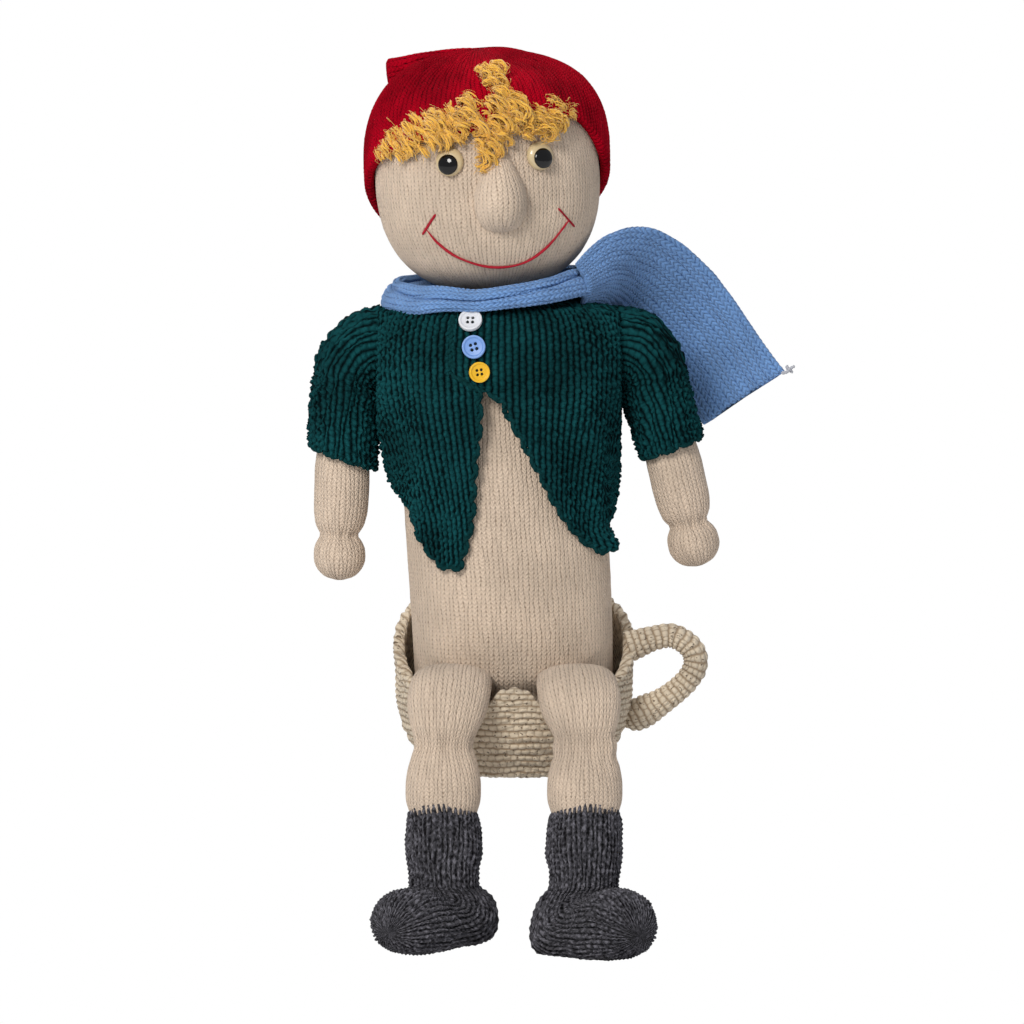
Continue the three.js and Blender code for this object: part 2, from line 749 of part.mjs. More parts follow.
function jacketFront(side) {
  const seam = side < 0 ? sideSeam - 180 : -sideSeam;
  const edge = side < 0 ? leftEdge : rightEdge;
  const tip = side < 0 ? jacketLeftTip : jacketRightTip;
  const sideHem = jacketSideHem - side * hemSlant;
  return panel((u, v, depth) => {
    const hem = lerp(sideHem, tip, smooth(u, 0.02, 0.85));
    const z = lerp(hem, jacketNeckHeight, v);
    return jacketPoint(rad(lerp(seam, readAt(edge, z, 1), u)), z, depth);
  }, jacketThickness, 8, 13);
}

function jacketBack() {
  return panel((u, v, depth) => {
    const hem = lerp(jacketSideHem - hemSlant, jacketSideHem + hemSlant, u);
    const angle = rad(lerp(sideSeam, 180 - sideSeam, u));
    return jacketPoint(angle, lerp(hem, jacketNeckHeight, v), depth);
  }, jacketThickness, 12, 9);
}

// Each arm leans out from the shoulder to the elbow, and then hangs; the right one is held further out
const middleX = leanAt(shoulderHeight);
const sides = [
  { name: "left", sign: -1, reach: 10, upperLean: 11, lowerLean: 0.5, foreArm: 47 },
  { name: "right", sign: 1, reach: 8, upperLean: 20, lowerLean: 14, foreArm: 43 },
].map((side) => {
  const seamX = middleX + side.sign * armholeHalfSpan;
  const shoulder = v3(seamX + side.sign * side.reach, 0, shoulderHeight);
  const towards = (degrees) => v3(side.sign * Math.sin(rad(degrees)), 0, -Math.cos(rad(degrees)));
  const elbow = shoulder.clone().addScaledVector(towards(side.upperLean), sleeveLength);
  const wrist = elbow.clone().addScaledVector(towards(side.lowerLean), side.foreArm);
  const hand = wrist.clone().addScaledVector(towards(side.lowerLean), handDrop);
  return { ...side, seamX, shoulder, elbow, wrist, hand };
});

const cutAtArmholes = (shape) => {
  let made = shape;
  for (const side of sides) {
    const inner = v3(side.seamX - side.sign * 40, 0, shoulderHeight);
    const outer = v3(side.seamX + side.sign * 40, 0, shoulderHeight);
    made = sideOf(made, side.seamX - side.sign * seamGap, -side.sign);
    made = made.subtract(solid(rod(inner, outer, armholeRadius)));
  }
  return largest(made);
};

const jacketPanels = {
  jacket_back: cutAtArmholes(solid(jacketBack())),
  jacket_front_left: cutAtArmholes(solid(jacketFront(-1))),
  jacket_front_right: cutAtArmholes(solid(jacketFront(1))),
};
for (const [name, shape] of Object.entries(jacketPanels)) doll.add(piece(name, shape, greenYarn));

// Buttons on the right front's edge
function buttonShape() {
  const r = buttonRadius;
  const high = buttonThickness;
  const dish = high - 0.8;
  const disc = solid(turned([
    [0, 0], [r - 0.8, 0], [r, 0.8], [r, high - 0.6], [r - 0.5, high],
    [r - buttonRim, high], [r - buttonRim - 0.5, dish], [0, dish],
  ], 16));
  const half = buttonHolePitch / 2;
  const hole = (x, y) => solid(rod(v3(x, y, -1), v3(x, y, high + 1), buttonHoleRadius, 5));
  return [[-half, -half], [half, -half], [-half, half], [half, half]].reduce(
    (made, [x, y]) => made.subtract(hole(x, y)),
    disc,
  );
}

const buttons = [["button_white", 0xe8eaee], ["button_blue", 0x7da2e0], ["button_yellow", 0xe9bb25]];
buttons.forEach(([name, color], i) => {
  const z = jacketNeckHeight - buttonTopDrop - i * buttonSpacing;
  const angle = rad(overlapEdge + 8 + 2 * i);
  const at = jacketPoint(angle, z, 0);
  const right = jacketPoint(angle + 0.05, z, 0).sub(at);
  const up = jacketPoint(angle, z + 1, 0).sub(at);
  const out = right.cross(up).normalize();
  const mesh = piece(name, buttonShape(), plastic(color));
  mesh.quaternion.setFromUnitVectors(v3(0, 0, 1), out);
  mesh.position.copy(at.addScaledVector(out, seamGap + 0.35));
  doll.add(mesh);
});

// Sleeves, arms and hands

// A round tube along an arm's path, from the shoulder down; sizes are [share, radius]
function armTube(side, sizes, around) {
  const path = new THREE.CatmullRomCurve3([
    side.shoulder, side.shoulder.clone().lerp(side.elbow, 0.5), side.elbow,
    side.elbow.clone().lerp(side.wrist, 0.5), side.wrist,
  ]);
  const rings = sizes.map(([share, radius]) => {
    const centre = path.getPointAt(share);
    const along = path.getTangentAt(share);
    const across = v3(0, 1, 0);
    const out = along.clone().cross(across).normalize();
    const ring = [];
    for (let i = 0; i < around; i++) {
      const a = (i / around) * 2 * Math.PI;
      const point = centre.clone().addScaledVector(across, radius * Math.cos(a));
      ring.push(point.addScaledVector(out, radius * Math.sin(a)));
    }
    return ring;
  });
  return solid(throughRings(rings));
}

// The shoulder end: a ball at the shoulder and a stub that reaches towards the body
function shoulderEnd(side, reachX, ballRadius, stubRadius, around) {
  const { x, y, z } = side.shoulder;
  const ball = solid(ellipsoid(ballRadius, ballRadius, ballRadius, around, 8).translate(x, y, z));
  return ball.add(solid(rod(v3(reachX, y, z), side.shoulder, stubRadius, around)));
}

const armLengthOf = (side) => sleeveLength + side.foreArm;

function sleeveBody(side, inset) {
  const hemShare = sleeveLength / armLengthOf(side) + (inset ? 0.06 : 0);
  const cap = sleeveCapRadius - inset;
  const hem = sleeveHemRadius - inset;
  const sizes = [[0, cap], [hemShare * 0.5, cap - 1.5], [hemShare * 0.8, hem + 0.8], [hemShare, hem]];
  const tube = armTube(side, sizes, 14);
  const inner = side.seamX - side.sign * (8 + 4 * inset);
  return shoulderEnd(side, inner, cap, cap - 1, 14).add(tube);
}

function armShape(side) {
  const hem = sleeveLength / armLengthOf(side);
  const tube = armTube(side, [
    [0, armRadius - 2.5], [hem * 0.6, armRadius - 1], [hem, armRadius + 0.5], [0.8, armRadius - 0.5],
    [0.93, wristRadius + 1.2], [1, wristRadius - 0.2],
  ], 12);
  const wristEnd = solid(ellipsoid(wristRadius, wristRadius, wristRadius, 12, 8)
    .translate(side.wrist.x, side.wrist.y, side.wrist.z));
  const torsoSide = middleX + side.sign * (torsoWidthAt(shoulderHeight - armRadius) + seamGap);
  return shoulderEnd(side, torsoSide, armRadius - 2.5, armRadius - 2.7, 12).add(tube).add(wristEnd);
}

function handShape(side) {
  const ball = (r, at, around, up) => solid(ellipsoid(r, r, r, around, up).translate(at.x, at.y, at.z));
  return ball(handRadius, side.hand, 14, 10).subtract(ball(wristRadius + swingGap, side.wrist, 12, 8));
}

for (const side of sides) {
  const shell = sleeveBody(side, 0).subtract(sleeveBody(side, sleeveThickness));
  const sleeve = sideOf(shell, side.seamX, side.sign);
  doll.add(piece("sleeve_" + side.name, largest(sleeve), greenYarn));
  doll.add(piece("arm_" + side.name, armShape(side), creamKnit));
  doll.add(piece("hand_" + side.name, handShape(side), creamKnit));
}

// Legs: each is two stuffed tubes drawn flat at the hip and knee seams

// A body of elliptical sections along a path; sections are [share, half width, half thickness]
function stuffedTube(path, sections, around = 12) {
  const rings = sections.map(([share, halfWidth, halfThickness]) => {
    const centre = path.getPointAt(share);
    const along = path.getTangentAt(share);
    const across = v3(1, 0, 0).addScaledVector(along, -along.x).normalize();
    const out = along.clone().cross(across).normalize();
    const ring = [];
    for (let i = 0; i < around; i++) {
      const [x, y] = superPoint((i / around) * 2 * Math.PI, halfWidth, halfThickness, 2.2);
      ring.push(centre.clone().addScaledVector(across, x).addScaledVector(out, y));
    }
    return ring;
  });
  return solid(throughRings(rings));
}

const legs = [
  { name: "left", sign: -1 },
  { name: "right", sign: 1 },
];

const hipForward = torsoHalfDepth * 0.83 + 3;
const hipHeight = cupFrontHeight + hipLift;

function thighShape(sign) {
  const hip = v3((sign * hipSpacing) / 2, -hipForward, hipHeight);
  const knee = v3((sign * kneeSpacing) / 2, -kneeForward, kneeHeight + seamHalfThickness - 1);
  const over = v3((sign * (hipSpacing + kneeSpacing)) / 4, -kneeForward + 3, hipHeight + 9);
  const path = new THREE.QuadraticBezierCurve3(hip, over, knee);
  const w = thighHalfWidth;
  const h = thighHalfThickness;
  const tube = stuffedTube(path, [
    [0, seamHalfWidth + 1, 5], [0.12, w * 0.93, h * 0.55], [0.3, w * 0.98, h * 0.68], [0.5, w, h],
    [0.7, w, h * 0.98], [0.84, w * 0.93, h * 0.72], [0.93, w * 0.86, h * 0.36],
    [1, seamHalfWidth, seamHalfThickness],
  ]);
  return largest(clearOfBelly(tube, hip).subtract(kneeRoll(sign, swingGap)));
}

// Cuts away what would press into the torso as the thigh lifts at the hip
function clearOfBelly(thigh, hip) {
  const belly = geometryOf(torsoOuter).scale(1, 1 + seamGap / torsoHalfDepth, 1).translate(0, -hip.y, -hip.z);
  let made = thigh;
  for (let lift = 0; lift <= hipSwing; lift += 15) {
    const turned = belly.clone().rotateX(rad(lift)).translate(0, hip.y, hip.z);
    made = made.subtract(solid(turned));
  }
  return made;
}

// The gathered seam at the knee, a roll on the top of the shin that the thigh's end seats on
function kneeRoll(sign, gap = 0) {
  const x = (sign * kneeSpacing) / 2;
  const end = (side) => v3(x + side * (seamHalfWidth + gap), -kneeForward, kneeHeight);
  return solid(rod(end(-1), end(1), seamHalfThickness + gap, 12));
}

function shinShape(sign, gap = 0) {
  const x = (sign * kneeSpacing) / 2;
  const top = v3(x, -kneeForward, kneeHeight - 1);
  const path = new THREE.LineCurve3(top, v3(x, -kneeForward, kneeHeight - shinLength));
  const w = shinHalfWidth + gap;
  const h = shinHalfWidth - 1 + gap;
  const a = ankleRadius + gap;
  const sections = [
    [0, seamHalfWidth, seamHalfThickness], [0.08, w * 0.92, h * 0.36], [0.18, w * 0.98, h * 0.82], [0.3, w, h],
    [0.37, w * 0.95, h * 0.97], [0.43, a + 1.4, a + 1.4], [0.56, a + 0.8, a + 0.8], [0.86, a + 0.5, a + 0.5],
    [0.95, a - 0.5, a - 0.5], [1, a * 0.55, a * 0.55],
  ];
  return stuffedTube(path, sections).add(kneeRoll(sign));
}

// The foot is a long rounded body with a flat sole, turned outwards below the ankle
function footShape(sign, inset) {
  const sole = kneeHeight - soleDrop + inset;
  const rings = [];
  const rows = 8;
  for (let k = 0; k <= rows; k++) {
    const t = k / rows;
    const along = lerp(-heelReach + inset, footLength - heelReach - inset, (1 - Math.cos(t * Math.PI)) / 2);
    const round = Math.max(0.16, Math.sin(Math.max(0.035, Math.min(0.965, t)) * Math.PI)) ** 0.62;
    const halfWidth = (footWidth / 2 - inset) * round * (0.9 + 0.13 * t);
    const height = (footHeight - 2 * inset) * round * (1 - 0.2 * t * t);
    const ring = [];
    for (let i = 0; i < 12; i++) {
      const [x, y] = superPoint((i / 12) * 2 * Math.PI, halfWidth, height / 2, 2.5);
      const middle = (footHeight - 2 * inset) * 0.5 - (footHeight - height) * 0.375;
      ring.push(v3(x, -along, y + middle));
    }
    rings.push(ring);
  }
  const foot = throughRings(rings)
    .rotateZ(sign * rad(toeOut))
    .translate((sign * kneeSpacing) / 2, -kneeForward, sole - soleFlat);
  const slab = 2 * footHeight;
  const wide = 4 * (kneeForward + footLength);
  const below = new THREE.BoxGeometry(wide, wide, slab).translate(0, 0, sole - slab / 2);
  return solid(foot).subtract(solid(below));
}

// The ribbed shaft, open at the top, that narrows at the ankle
function bootShaft(sign, inset) {
  const top = kneeHeight - bootTopDrop;
  const bottom = kneeHeight - soleDrop + footHeight * 0.45;
  const past = inset ? 6 : 0;
  const around = 12;
  const snug = ankleRadius + 1.4 + seamGap + bootThickness;
  const levels = [
    [0, snug - 0.6], [0.28, snug - 0.4], [0.62, bootShaftRadius],
    [0.88, bootShaftRadius - 0.6], [1, snug + 0.4],
  ];
  const rings = levels.map(([share, radius]) => {
    const ring = [];
    for (let i = 0; i < around; i++) {
      const a = (i / around) * 2 * Math.PI;
      const rise = -bootTopRise * Math.sin(a) * share ** 2 + (share === 1 ? past : 0);
      const r = radius - inset;
      const x = (sign * kneeSpacing) / 2 + r * Math.cos(a);
      ring.push(v3(x, -kneeForward + r * Math.sin(a), lerp(bottom, top, share) + rise));
    }
    return ring;
  });
  return solid(throughRings(rings));
}

for (const leg of legs) {
  const shin = shinShape(leg.sign);
  const boot = bootShaft(leg.sign, 0).add(footShape(leg.sign, 0));
  const hollow = footShape(leg.sign, bootThickness).add(bootShaft(leg.sign, bootThickness));
  const stuffing = footShape(leg.sign, bootThickness + seamGap).subtract(shinShape(leg.sign, seamGap));
  doll.add(piece("thigh_" + leg.name, thighShape(leg.sign), creamKnit));
  doll.add(piece("shin_" + leg.name, shin, creamKnit));
  doll.add(piece("boot_" + leg.name, boot.subtract(hollow), greyYarn));
  doll.add(piece("foot_filling_" + leg.name, stuffing, filling));
}

// Scarf: a knitted strip once round the neck, one end thrown out over the right shoulder

// The ring's middle line; it rises to the right, where the ends cross
function scarfRingPoint(angle) {
  const x = -(torsoLean + headSide) / 2 + scarfRingHalfWidth * Math.cos(angle);
  const y = scarfRingHalfDepth * Math.sin(angle);
  const rise = 1.5 + 2.5 * Math.cos(angle) - 1.5 * Math.sin(angle) ** 2;
  return v3(x, y, scarfRingHeight + rise);
}

function scarfWrap(grow = 0) {
  const around = 26;
  const rings = [];
  for (let i = 0; i < around; i++) {
    const angle = (i / around) * 2 * Math.PI;
    const centre = scarfRingPoint(angle);
    const outwards = v3(Math.cos(angle) / scarfRingHalfWidth, Math.sin(angle) / scarfRingHalfDepth, 0);
    outwards.normalize();
    const slope = rad(60);
    const ring = [];
    for (let k = 0; k < 10; k++) {
      const [wide, thick] = superPoint((k / 10) * 2 * Math.PI, scarfWidth / 2 + grow, scarfThickness / 2 + grow, 2.2);
      const out = -wide * Math.cos(slope) + thick * Math.sin(slope);
      const up = wide * Math.sin(slope) + thick * Math.cos(slope);
      ring.push(centre.clone().addScaledVector(outwards, out).add(v3(0, 0, up)));
    }
    rings.push(ring);
  }
  return solid(loopOfRings(rings));
}

// A strip of cloth along a path, with its half width, the way it spreads and its lengthwise fold at each share
function strip(path, halfWidthAt, spreadAt, thickness, foldAt, steps) {
  const rings = [];
  for (let k = 0; k <= steps; k++) {
    const t = k / steps;
    const centre = path.getPointAt(t);
    const along = path.getTangentAt(t);
    const spread = spreadAt(t).addScaledVector(along, -spreadAt(t).dot(along)).normalize();
    const flat = along.clone().cross(spread).normalize();
    const half = halfWidthAt(t);
    const ring = [];
    for (let i = 0; i < 12; i++) {
      const [x, y] = superPoint((i / 12) * 2 * Math.PI, half, thickness / 2, 3.5);
      const fold = foldAt(t) * Math.cos((x / half) * 2.2);
      ring.push(centre.clone().addScaledVector(spread, x).addScaledVector(flat, y + fold));
    }
    rings.push(ring);
  }
  return throughRings(rings);
}

// The thrown end's middle line: over the right shoulder, then out and down; heights from the ring
const scarfTailPath = [
  [47, -39, 5.9], [59, -8, 11.4], [78, 23, 1.4], [104, 37, -21.6], [122, 41, -44.6], [139, 42, -68.6],
];

function scarfTail() {
  const path = new THREE.CatmullRomCurve3(scarfTailPath.map(([x, y, up]) => v3(x, y, scarfRingHeight + up)));
  const full = scarfTailEndWidth / 2;
  const width = (t) => lerp(scarfTailStart, full, smooth(t, 0, 0.6)) * (1 - 0.05 * Math.sin(t * 9));
  const spread = (t) => v3(
    lerp(-0.2, 0.9, smooth(t, 0, 0.85)),
    lerp(0.1, -0.25, smooth(t, 0, 0.3)),
    lerp(1, 0.45, smooth(t, 0.1, 1)),
  );
  const fold = (t) => lerp(7, -3, smooth(t, 0, 0.7));
  return solid(strip(path, width, spread, scarfTailThickness, fold, 14));
}

function scarfBackTail() {
  const back = torsoHalfDepth + hemRoom + 12;
  const top = scarfRingHeight + 8;
  const path = new THREE.CatmullRomCurve3([
    v3(22, back - 13, top - 1), v3(24, back + 1, top - 19),
    v3(25, back + 4, top - 50), v3(26, back + 2, top - scarfBackTailLength),
  ]);
  const halfWidth = (t) => lerp(scarfTailStart, scarfBackTailWidth / 2, smooth(t, 0, 0.8));
  return solid(strip(path, halfWidth, () => v3(1, -0.2, 0), scarfTailThickness, () => 3, 9));
}

// The scarf lies on the jacket's shoulders, and its ends lie on the ring
function onJacket(shape) {
  const lying = (made, panelShape) => made.subtract(panelShape).subtract(panelShape.translate([0, 0, seamGap]));
  return largest(Object.values(jacketPanels).reduce(lying, shape));
}

const roomForWrap = scarfWrap(seamGap);
doll.add(piece("scarf_wrap", onJacket(scarfWrap()), blueYarn));
doll.add(piece("scarf_tail", onJacket(scarfTail().subtract(roomForWrap)), blueYarn));
doll.add(piece("scarf_back_tail", onJacket(scarfBackTail().subtract(roomForWrap)), blueYarn));

export default doll;
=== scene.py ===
# Hand-knitted doll that sits in a knitted cup. Metres in the scene, millimetres in the numbers below.
from math import atan, cos, pi, radians, sin

import bpy
import numpy as np
from mathutils import Matrix, Vector


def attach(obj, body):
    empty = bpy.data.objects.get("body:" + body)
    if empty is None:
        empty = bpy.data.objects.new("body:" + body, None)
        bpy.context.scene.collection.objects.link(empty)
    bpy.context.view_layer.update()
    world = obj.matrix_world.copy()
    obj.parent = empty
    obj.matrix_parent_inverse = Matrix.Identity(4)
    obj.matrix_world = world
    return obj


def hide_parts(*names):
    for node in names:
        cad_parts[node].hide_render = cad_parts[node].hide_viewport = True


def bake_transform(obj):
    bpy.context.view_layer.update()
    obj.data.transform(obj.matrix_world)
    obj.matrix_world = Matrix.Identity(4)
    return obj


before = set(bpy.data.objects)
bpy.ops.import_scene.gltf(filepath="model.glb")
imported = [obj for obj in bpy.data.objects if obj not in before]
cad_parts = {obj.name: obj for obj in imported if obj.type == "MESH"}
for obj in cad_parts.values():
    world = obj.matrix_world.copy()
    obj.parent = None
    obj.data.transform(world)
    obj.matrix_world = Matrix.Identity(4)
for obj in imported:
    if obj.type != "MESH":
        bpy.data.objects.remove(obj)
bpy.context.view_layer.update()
mm = 0.001
rng = np.random.default_rng(7)


def stage(text):
    print("doll:", text)


# Shader maths: a wrapped socket adds Math nodes when it is used in an expression
class Wire:
    def __init__(self, tree, socket):
        self.tree = tree
        self.socket = socket

    def maths(self, operation, *terms, clamp=False):
        settings = {"operation": operation, "use_clamp": clamp}
        return addNode(self.tree, "ShaderNodeMath", settings, dict(enumerate(terms)))

    def __add__(self, other):
        return self.maths("ADD", self, other)

    def __radd__(self, other):
        return self.maths("ADD", other, self)

    def __sub__(self, other):
        return self.maths("SUBTRACT", self, other)

    def __rsub__(self, other):
        return self.maths("SUBTRACT", other, self)

    def __mul__(self, other):
        return self.maths("MULTIPLY", self, other)

    def __rmul__(self, other):
        return self.maths("MULTIPLY", other, self)

    def __abs__(self):
        return self.maths("ABSOLUTE", self)

    def __pow__(self, other):
        return self.maths("POWER", self, other)

    def fract(self):
        return self.maths("FRACT", self)

    def floor(self):
        return self.maths("FLOOR", self)

    def clamp(self):
        return self.maths("ADD", self, 0.0, clamp=True)

    def between(self, low, high):
        return addNode(self.tree, "ShaderNodeMapRange", {"interpolation_type": "SMOOTHSTEP"},
                       {0: self, 1: low, 2: high, 3: 0.0, 4: 1.0})


def addNode(tree, kind, settings=None, inputs=None, output=0):
    node = tree.nodes.new(kind)
    for key, value in (settings or {}).items():
        if key == "stops":
            ramp = node.color_ramp
            while len(ramp.elements) < len(value):
                ramp.elements.new(0.5)
            for element, (place, colour) in zip(ramp.elements, value):
                element.position = place
                element.color = (*colour, 1)
        else:
            setattr(node, key, value)
    for key, value in (inputs or {}).items():
        if isinstance(value, Wire):
            tree.links.new(value.socket, node.inputs[key])
        else:
            node.inputs[key].default_value = value
    return Wire(tree, node.outputs[output])


def srgb(*levels):
    return tuple(v / 255 / 12.92 if v < 11 else ((v / 255 + 0.055) / 1.055) ** 2.4 for v in levels)


def mixColour(tree, share, first, second, blend="MIX"):
    pick = lambda c: c if isinstance(c, Wire) else (*c, 1)
    settings = {"data_type": "RGBA", "blend_type": blend}
    return addNode(tree, "ShaderNodeMix", settings, {0: share, 6: pick(first), 7: pick(second)}, output=2)


def noise(tree, vector, scale, detail=2.0, rough=0.5):
    return addNode(tree, "ShaderNodeTexNoise", {},
                   {"Vector": vector, "Scale": scale, "Detail": detail, "Roughness": rough})


def newMaterial(name, roughness, sheen=0.0, specular=0.5, coat=0.0):
    material = bpy.data.materials.new(name)
    material.use_nodes = True
    shader = material.node_tree.nodes["Principled BSDF"]
    shader.inputs["Roughness"].default_value = roughness
    shader.inputs["Specular IOR Level"].default_value = specular
    shader.inputs["Sheen Weight"].default_value = sheen
    shader.inputs["Sheen Roughness"].default_value = 0.6
    shader.inputs["Coat Weight"].default_value = coat
    return material, material.node_tree, shader


# Gives a material its colour and its bump
def finished(material, shader, colour, relief, strength, distance):
    tree = material.node_tree
    bump = addNode(tree, "ShaderNodeBump", {}, {"Strength": strength, "Distance": distance, "Height": relief})
    tree.links.new(colour.socket, shader.inputs["Base Color"])
    tree.links.new(bump.socket, shader.inputs["Normal"])
    return material


# Stitches as heights over columns u and rows v
def stockinette(u, v):
    a = abs((u % 1) - 0.5)
    gap = smoothstep(a, 0.24, 0.5) * (0.7 + 0.3 * np.sin(v * 0.9 + np.floor(u) * 2.4))
    strand = 1 - (2 * ((v - 1.6 * a) % 1) - 1) ** 2
    return (1 - 0.8 * gap) * (0.6 + 0.4 * strand)


def columnsOnly(u, v):
    gap = smoothstep(abs((u % 1) - 0.5), 0.2, 0.5)
    return 1 - gap * (0.6 + 0.4 * np.sin(v * 0.9 + np.floor(u) * 2.4))


# A number from 0 to 1 for each column and row, the same in every run
def chanceAt(column, row=0, first=12.9898, second=78.233, size=43758.5453):
    return np.sin(column * first + row * second) * size % 1


# Ribs of knots that lean by turns and differ in size
def mossColumns(u, v):
    column = np.floor(u)
    level = v + 0.5 * (column % 2) + 0.5 * (chanceAt(column) - 0.5) + 0.16 * np.sin(column * 2.7 + v * 0.7)
    row = np.floor(level)
    chance = chanceAt(column, row)
    other = chanceAt(column, row, 39.3468, 11.135, 24634.6345)
    lean = 1 - 2 * (row % 2)
    side = u % 1 - 0.5
    near = side - 0.15 * lean
    rise = level % 1 - 0.5 + 0.2 * (chance - 0.5) + (0.6 * lean + 0.7 * (other - 0.5)) * side
    knot = np.clip(1 - (rise / 0.4) ** 2, 0, 1) ** 0.6 * np.clip(1 - (2.2 * near) ** 2, 0, 1) ** 0.55
    rib = 0.24 * np.clip(1 - (2.3 * side) ** 2, 0, 1) ** 0.7
    return np.maximum(rib, knot * (0.5 + 0.65 * chance))


def crochetRows(u, v):
    stagger = 0.5 * (np.floor(v) % 2)
    bump = np.abs(np.sin(pi * (u + stagger)))
    return np.sin(pi * (v % 1)) ** 0.7 * (0.5 + 0.5 * bump)


def ribbing(u, v):
    a = abs((u % 1) - 0.5)
    return (1 - (2 * a) ** 2) * (0.82 + 0.18 * np.cos(2 * pi * (v + 0.3 * a)))


# The same stitches as nodes: height, and how dark the yarn is painted, as painted shade in the gaps and holes
# between stitches and at the strands' edges
def stitchNodes(look, u, v, uneven):
    a = abs(u.fract() - 0.5)
    if look["stitch"] == "moss":
        rise = (v + (u.floor() * 0.5).fract()).fract()
        knot = (1 - ((rise - 0.5) * 2.3) ** 2).clamp() ** 0.6
        rib = (1 - (1.95 * a) ** 2).clamp() ** 1.2
        # the second value is painted shade: darker in the gaps between ribs and round the knots, with random
        # unevenness
        return rib * (0.5 + 0.5 * knot), rib * (0.55 + 0.3 * knot) * (0.7 + 0.6 * uneven)
    if look["stitch"] == "crochet":
        parity = (v.floor() * 0.5).fract()
        w = abs((u + parity).fract() - 0.5)
        row = 1 - (2 * abs(v.fract() - 0.5)) ** 2
        knot = row * (0.35 + 0.65 * (1 - (2 * w) ** 3))
        # the second value is painted shade: darker between the rows and the stitches
        return knot, knot
    gap = a.between(look.get("gapFrom", 0.3), 0.5)
    hole = (2 * abs((v + 0.4).fract() - 0.5)) ** 2
    strand = (1 - (2 * (v - 1.6 * a).fract() - 1) ** 2) ** 0.7
    ply = 1 - look["strand"] * (1 - strand)
    # painted shade: "line" sets how dark the gaps between columns and the holes are painted
    dark = look["line"] * gap * (0.35 + 0.5 * uneven.between(0.4, 0.65) + 0.5 * hole)
    return (1 - gap * (0.5 + 0.5 * hole)) * ply, ((1 - dark) * (0.5 + 0.5 * ply)).clamp()


# Colours as they look: "light" is the yarn's lit colour and "deep" the painted shade colour of its gaps and
# hollows; and how strongly the strands, the painted shade lines between columns and the relief show
yarns = {
    "creamKnit": {"light": (226, 205, 183), "deep": (122, 97, 75), "stitch": "plain", "strand": 0.55,
                  "line": 0.6, "bump": 0.8, "mottle": 0.16},
    "redKnit": {"light": (190, 2, 32), "deep": (70, 0, 12), "stitch": "plain", "strand": 0.6,
                "line": 0.8, "bump": 0.9, "mottle": 0.45, "sheen": 0.0},
    "blueKnit": {"light": (122, 166, 224), "deep": (36, 74, 134), "stitch": "plain", "strand": 0.9,
                 "line": 0.6, "bump": 0.9, "mottle": 0.2},
    "greenKnit": {"light": (20, 78, 82), "deep": (0, 4, 7), "stitch": "moss", "bump": 0.8, "mottle": 0.4,
                  "sheen": 0.0},
    "greyKnit": {"light": (84, 83, 89), "deep": (9, 9, 13), "stitch": "plain", "strand": 0.4, "line": 1.0,
                 "bump": 0.9, "mottle": 0.2, "gapFrom": 0.16, "fleck": 0.75, "sheen": 0.05},
    "cupKnit": {"light": (228, 213, 189), "deep": (160, 138, 112), "stitch": "crochet", "bump": 0.7,
                "mottle": 0.2, "specks": (92, 74, 56)},
}
# How fine the wool's noise is, from its fibres to its broad patches, and how high its relief in metres
wool = {"fibre": 2600.0, "tuft": 900.0, "broad": 28.0, "height": 0.0012}


def yarnMaterial(name):
    look = yarns[name]
    material, tree, shader = newMaterial(name, 0.95, sheen=look.get("sheen", 0.15), specular=0.05)
    uv = addNode(tree, "ShaderNodeUVMap", {"uv_map": "stitches"})
    place = addNode(tree, "ShaderNodeTexCoord", output=3)
    column = addNode(tree, "ShaderNodeSeparateXYZ", {}, {0: uv})
    row = Wire(tree, column.socket.node.outputs[1])
    u = column + 0.46 * (noise(tree, uv, 0.7) - 0.5)
    v = row + 0.9 * (noise(tree, uv, 0.31, 1.0) - 0.5)
    stretch = addNode(tree, "ShaderNodeMapping", {}, {0: uv, 3: (0.9, 0.3, 1.0)})
    uneven = noise(tree, stretch, 1.0, 2.0, 0.6)
    height, paintedStitchShade = stitchNodes(look, u, v, uneven)
    fibre = noise(tree, place, wool["fibre"], 3.0, 0.65)
    tuft = noise(tree, place, wool["tuft"], 2.0, 0.7)
    broad = noise(tree, place, wool["broad"])
    # painted shade: the colour runs from the painted shade colour "deep" in the stitches' gaps and hollows to
    # "light" on their crests, with random fibre and tuft tone added
    shade = (paintedStitchShade.between(0.02, 0.85) * 0.85 + 0.5 * tuft + 0.16 * fibre - 0.26).clamp()
    colour = mixColour(tree, shade, srgb(*look["deep"]), srgb(*look["light"]))
    if "fleck" in look:
        long = addNode(tree, "ShaderNodeMapping", {}, {0: uv, 3: (1.7, 0.8, 1.0)})
        fleck = noise(tree, long, 1.4, 1.0, 0.6)
        # dark marl flecks, a little darker than the painted shade colour "deep"
        dark = tuple(0.8 * c for c in srgb(*look["deep"]))
        colour = mixColour(tree, (1 - fleck.between(0.36, 0.46)) * look["fleck"], colour, dark)
        pale = tuple(min(1, 2.6 * c) for c in srgb(*look["light"]))
        colour = mixColour(tree, fleck.between(0.54, 0.62) * look["fleck"] * shade, colour, pale)
    if "specks" in look:
        speck = noise(tree, uv, 1.9, 1.0, 0.5)
        colour = mixColour(tree, speck.between(0.63, 0.7) * 0.85, colour, srgb(*look["specks"]))
    tone = 1.0 - look["mottle"] * broad.between(0.35, 0.7)
    grey = addNode(tree, "ShaderNodeCombineColor", {}, {0: tone, 1: tone, 2: tone})
    colour = mixColour(tree, 1.0, colour, grey, "MULTIPLY")
    relief = height + 0.5 * tuft + 0.3 * fibre
    return finished(material, shader, colour, relief, look["bump"], wool["height"])


materials = {name: yarnMaterial(name) for name in yarns}
stage("yarn materials made")


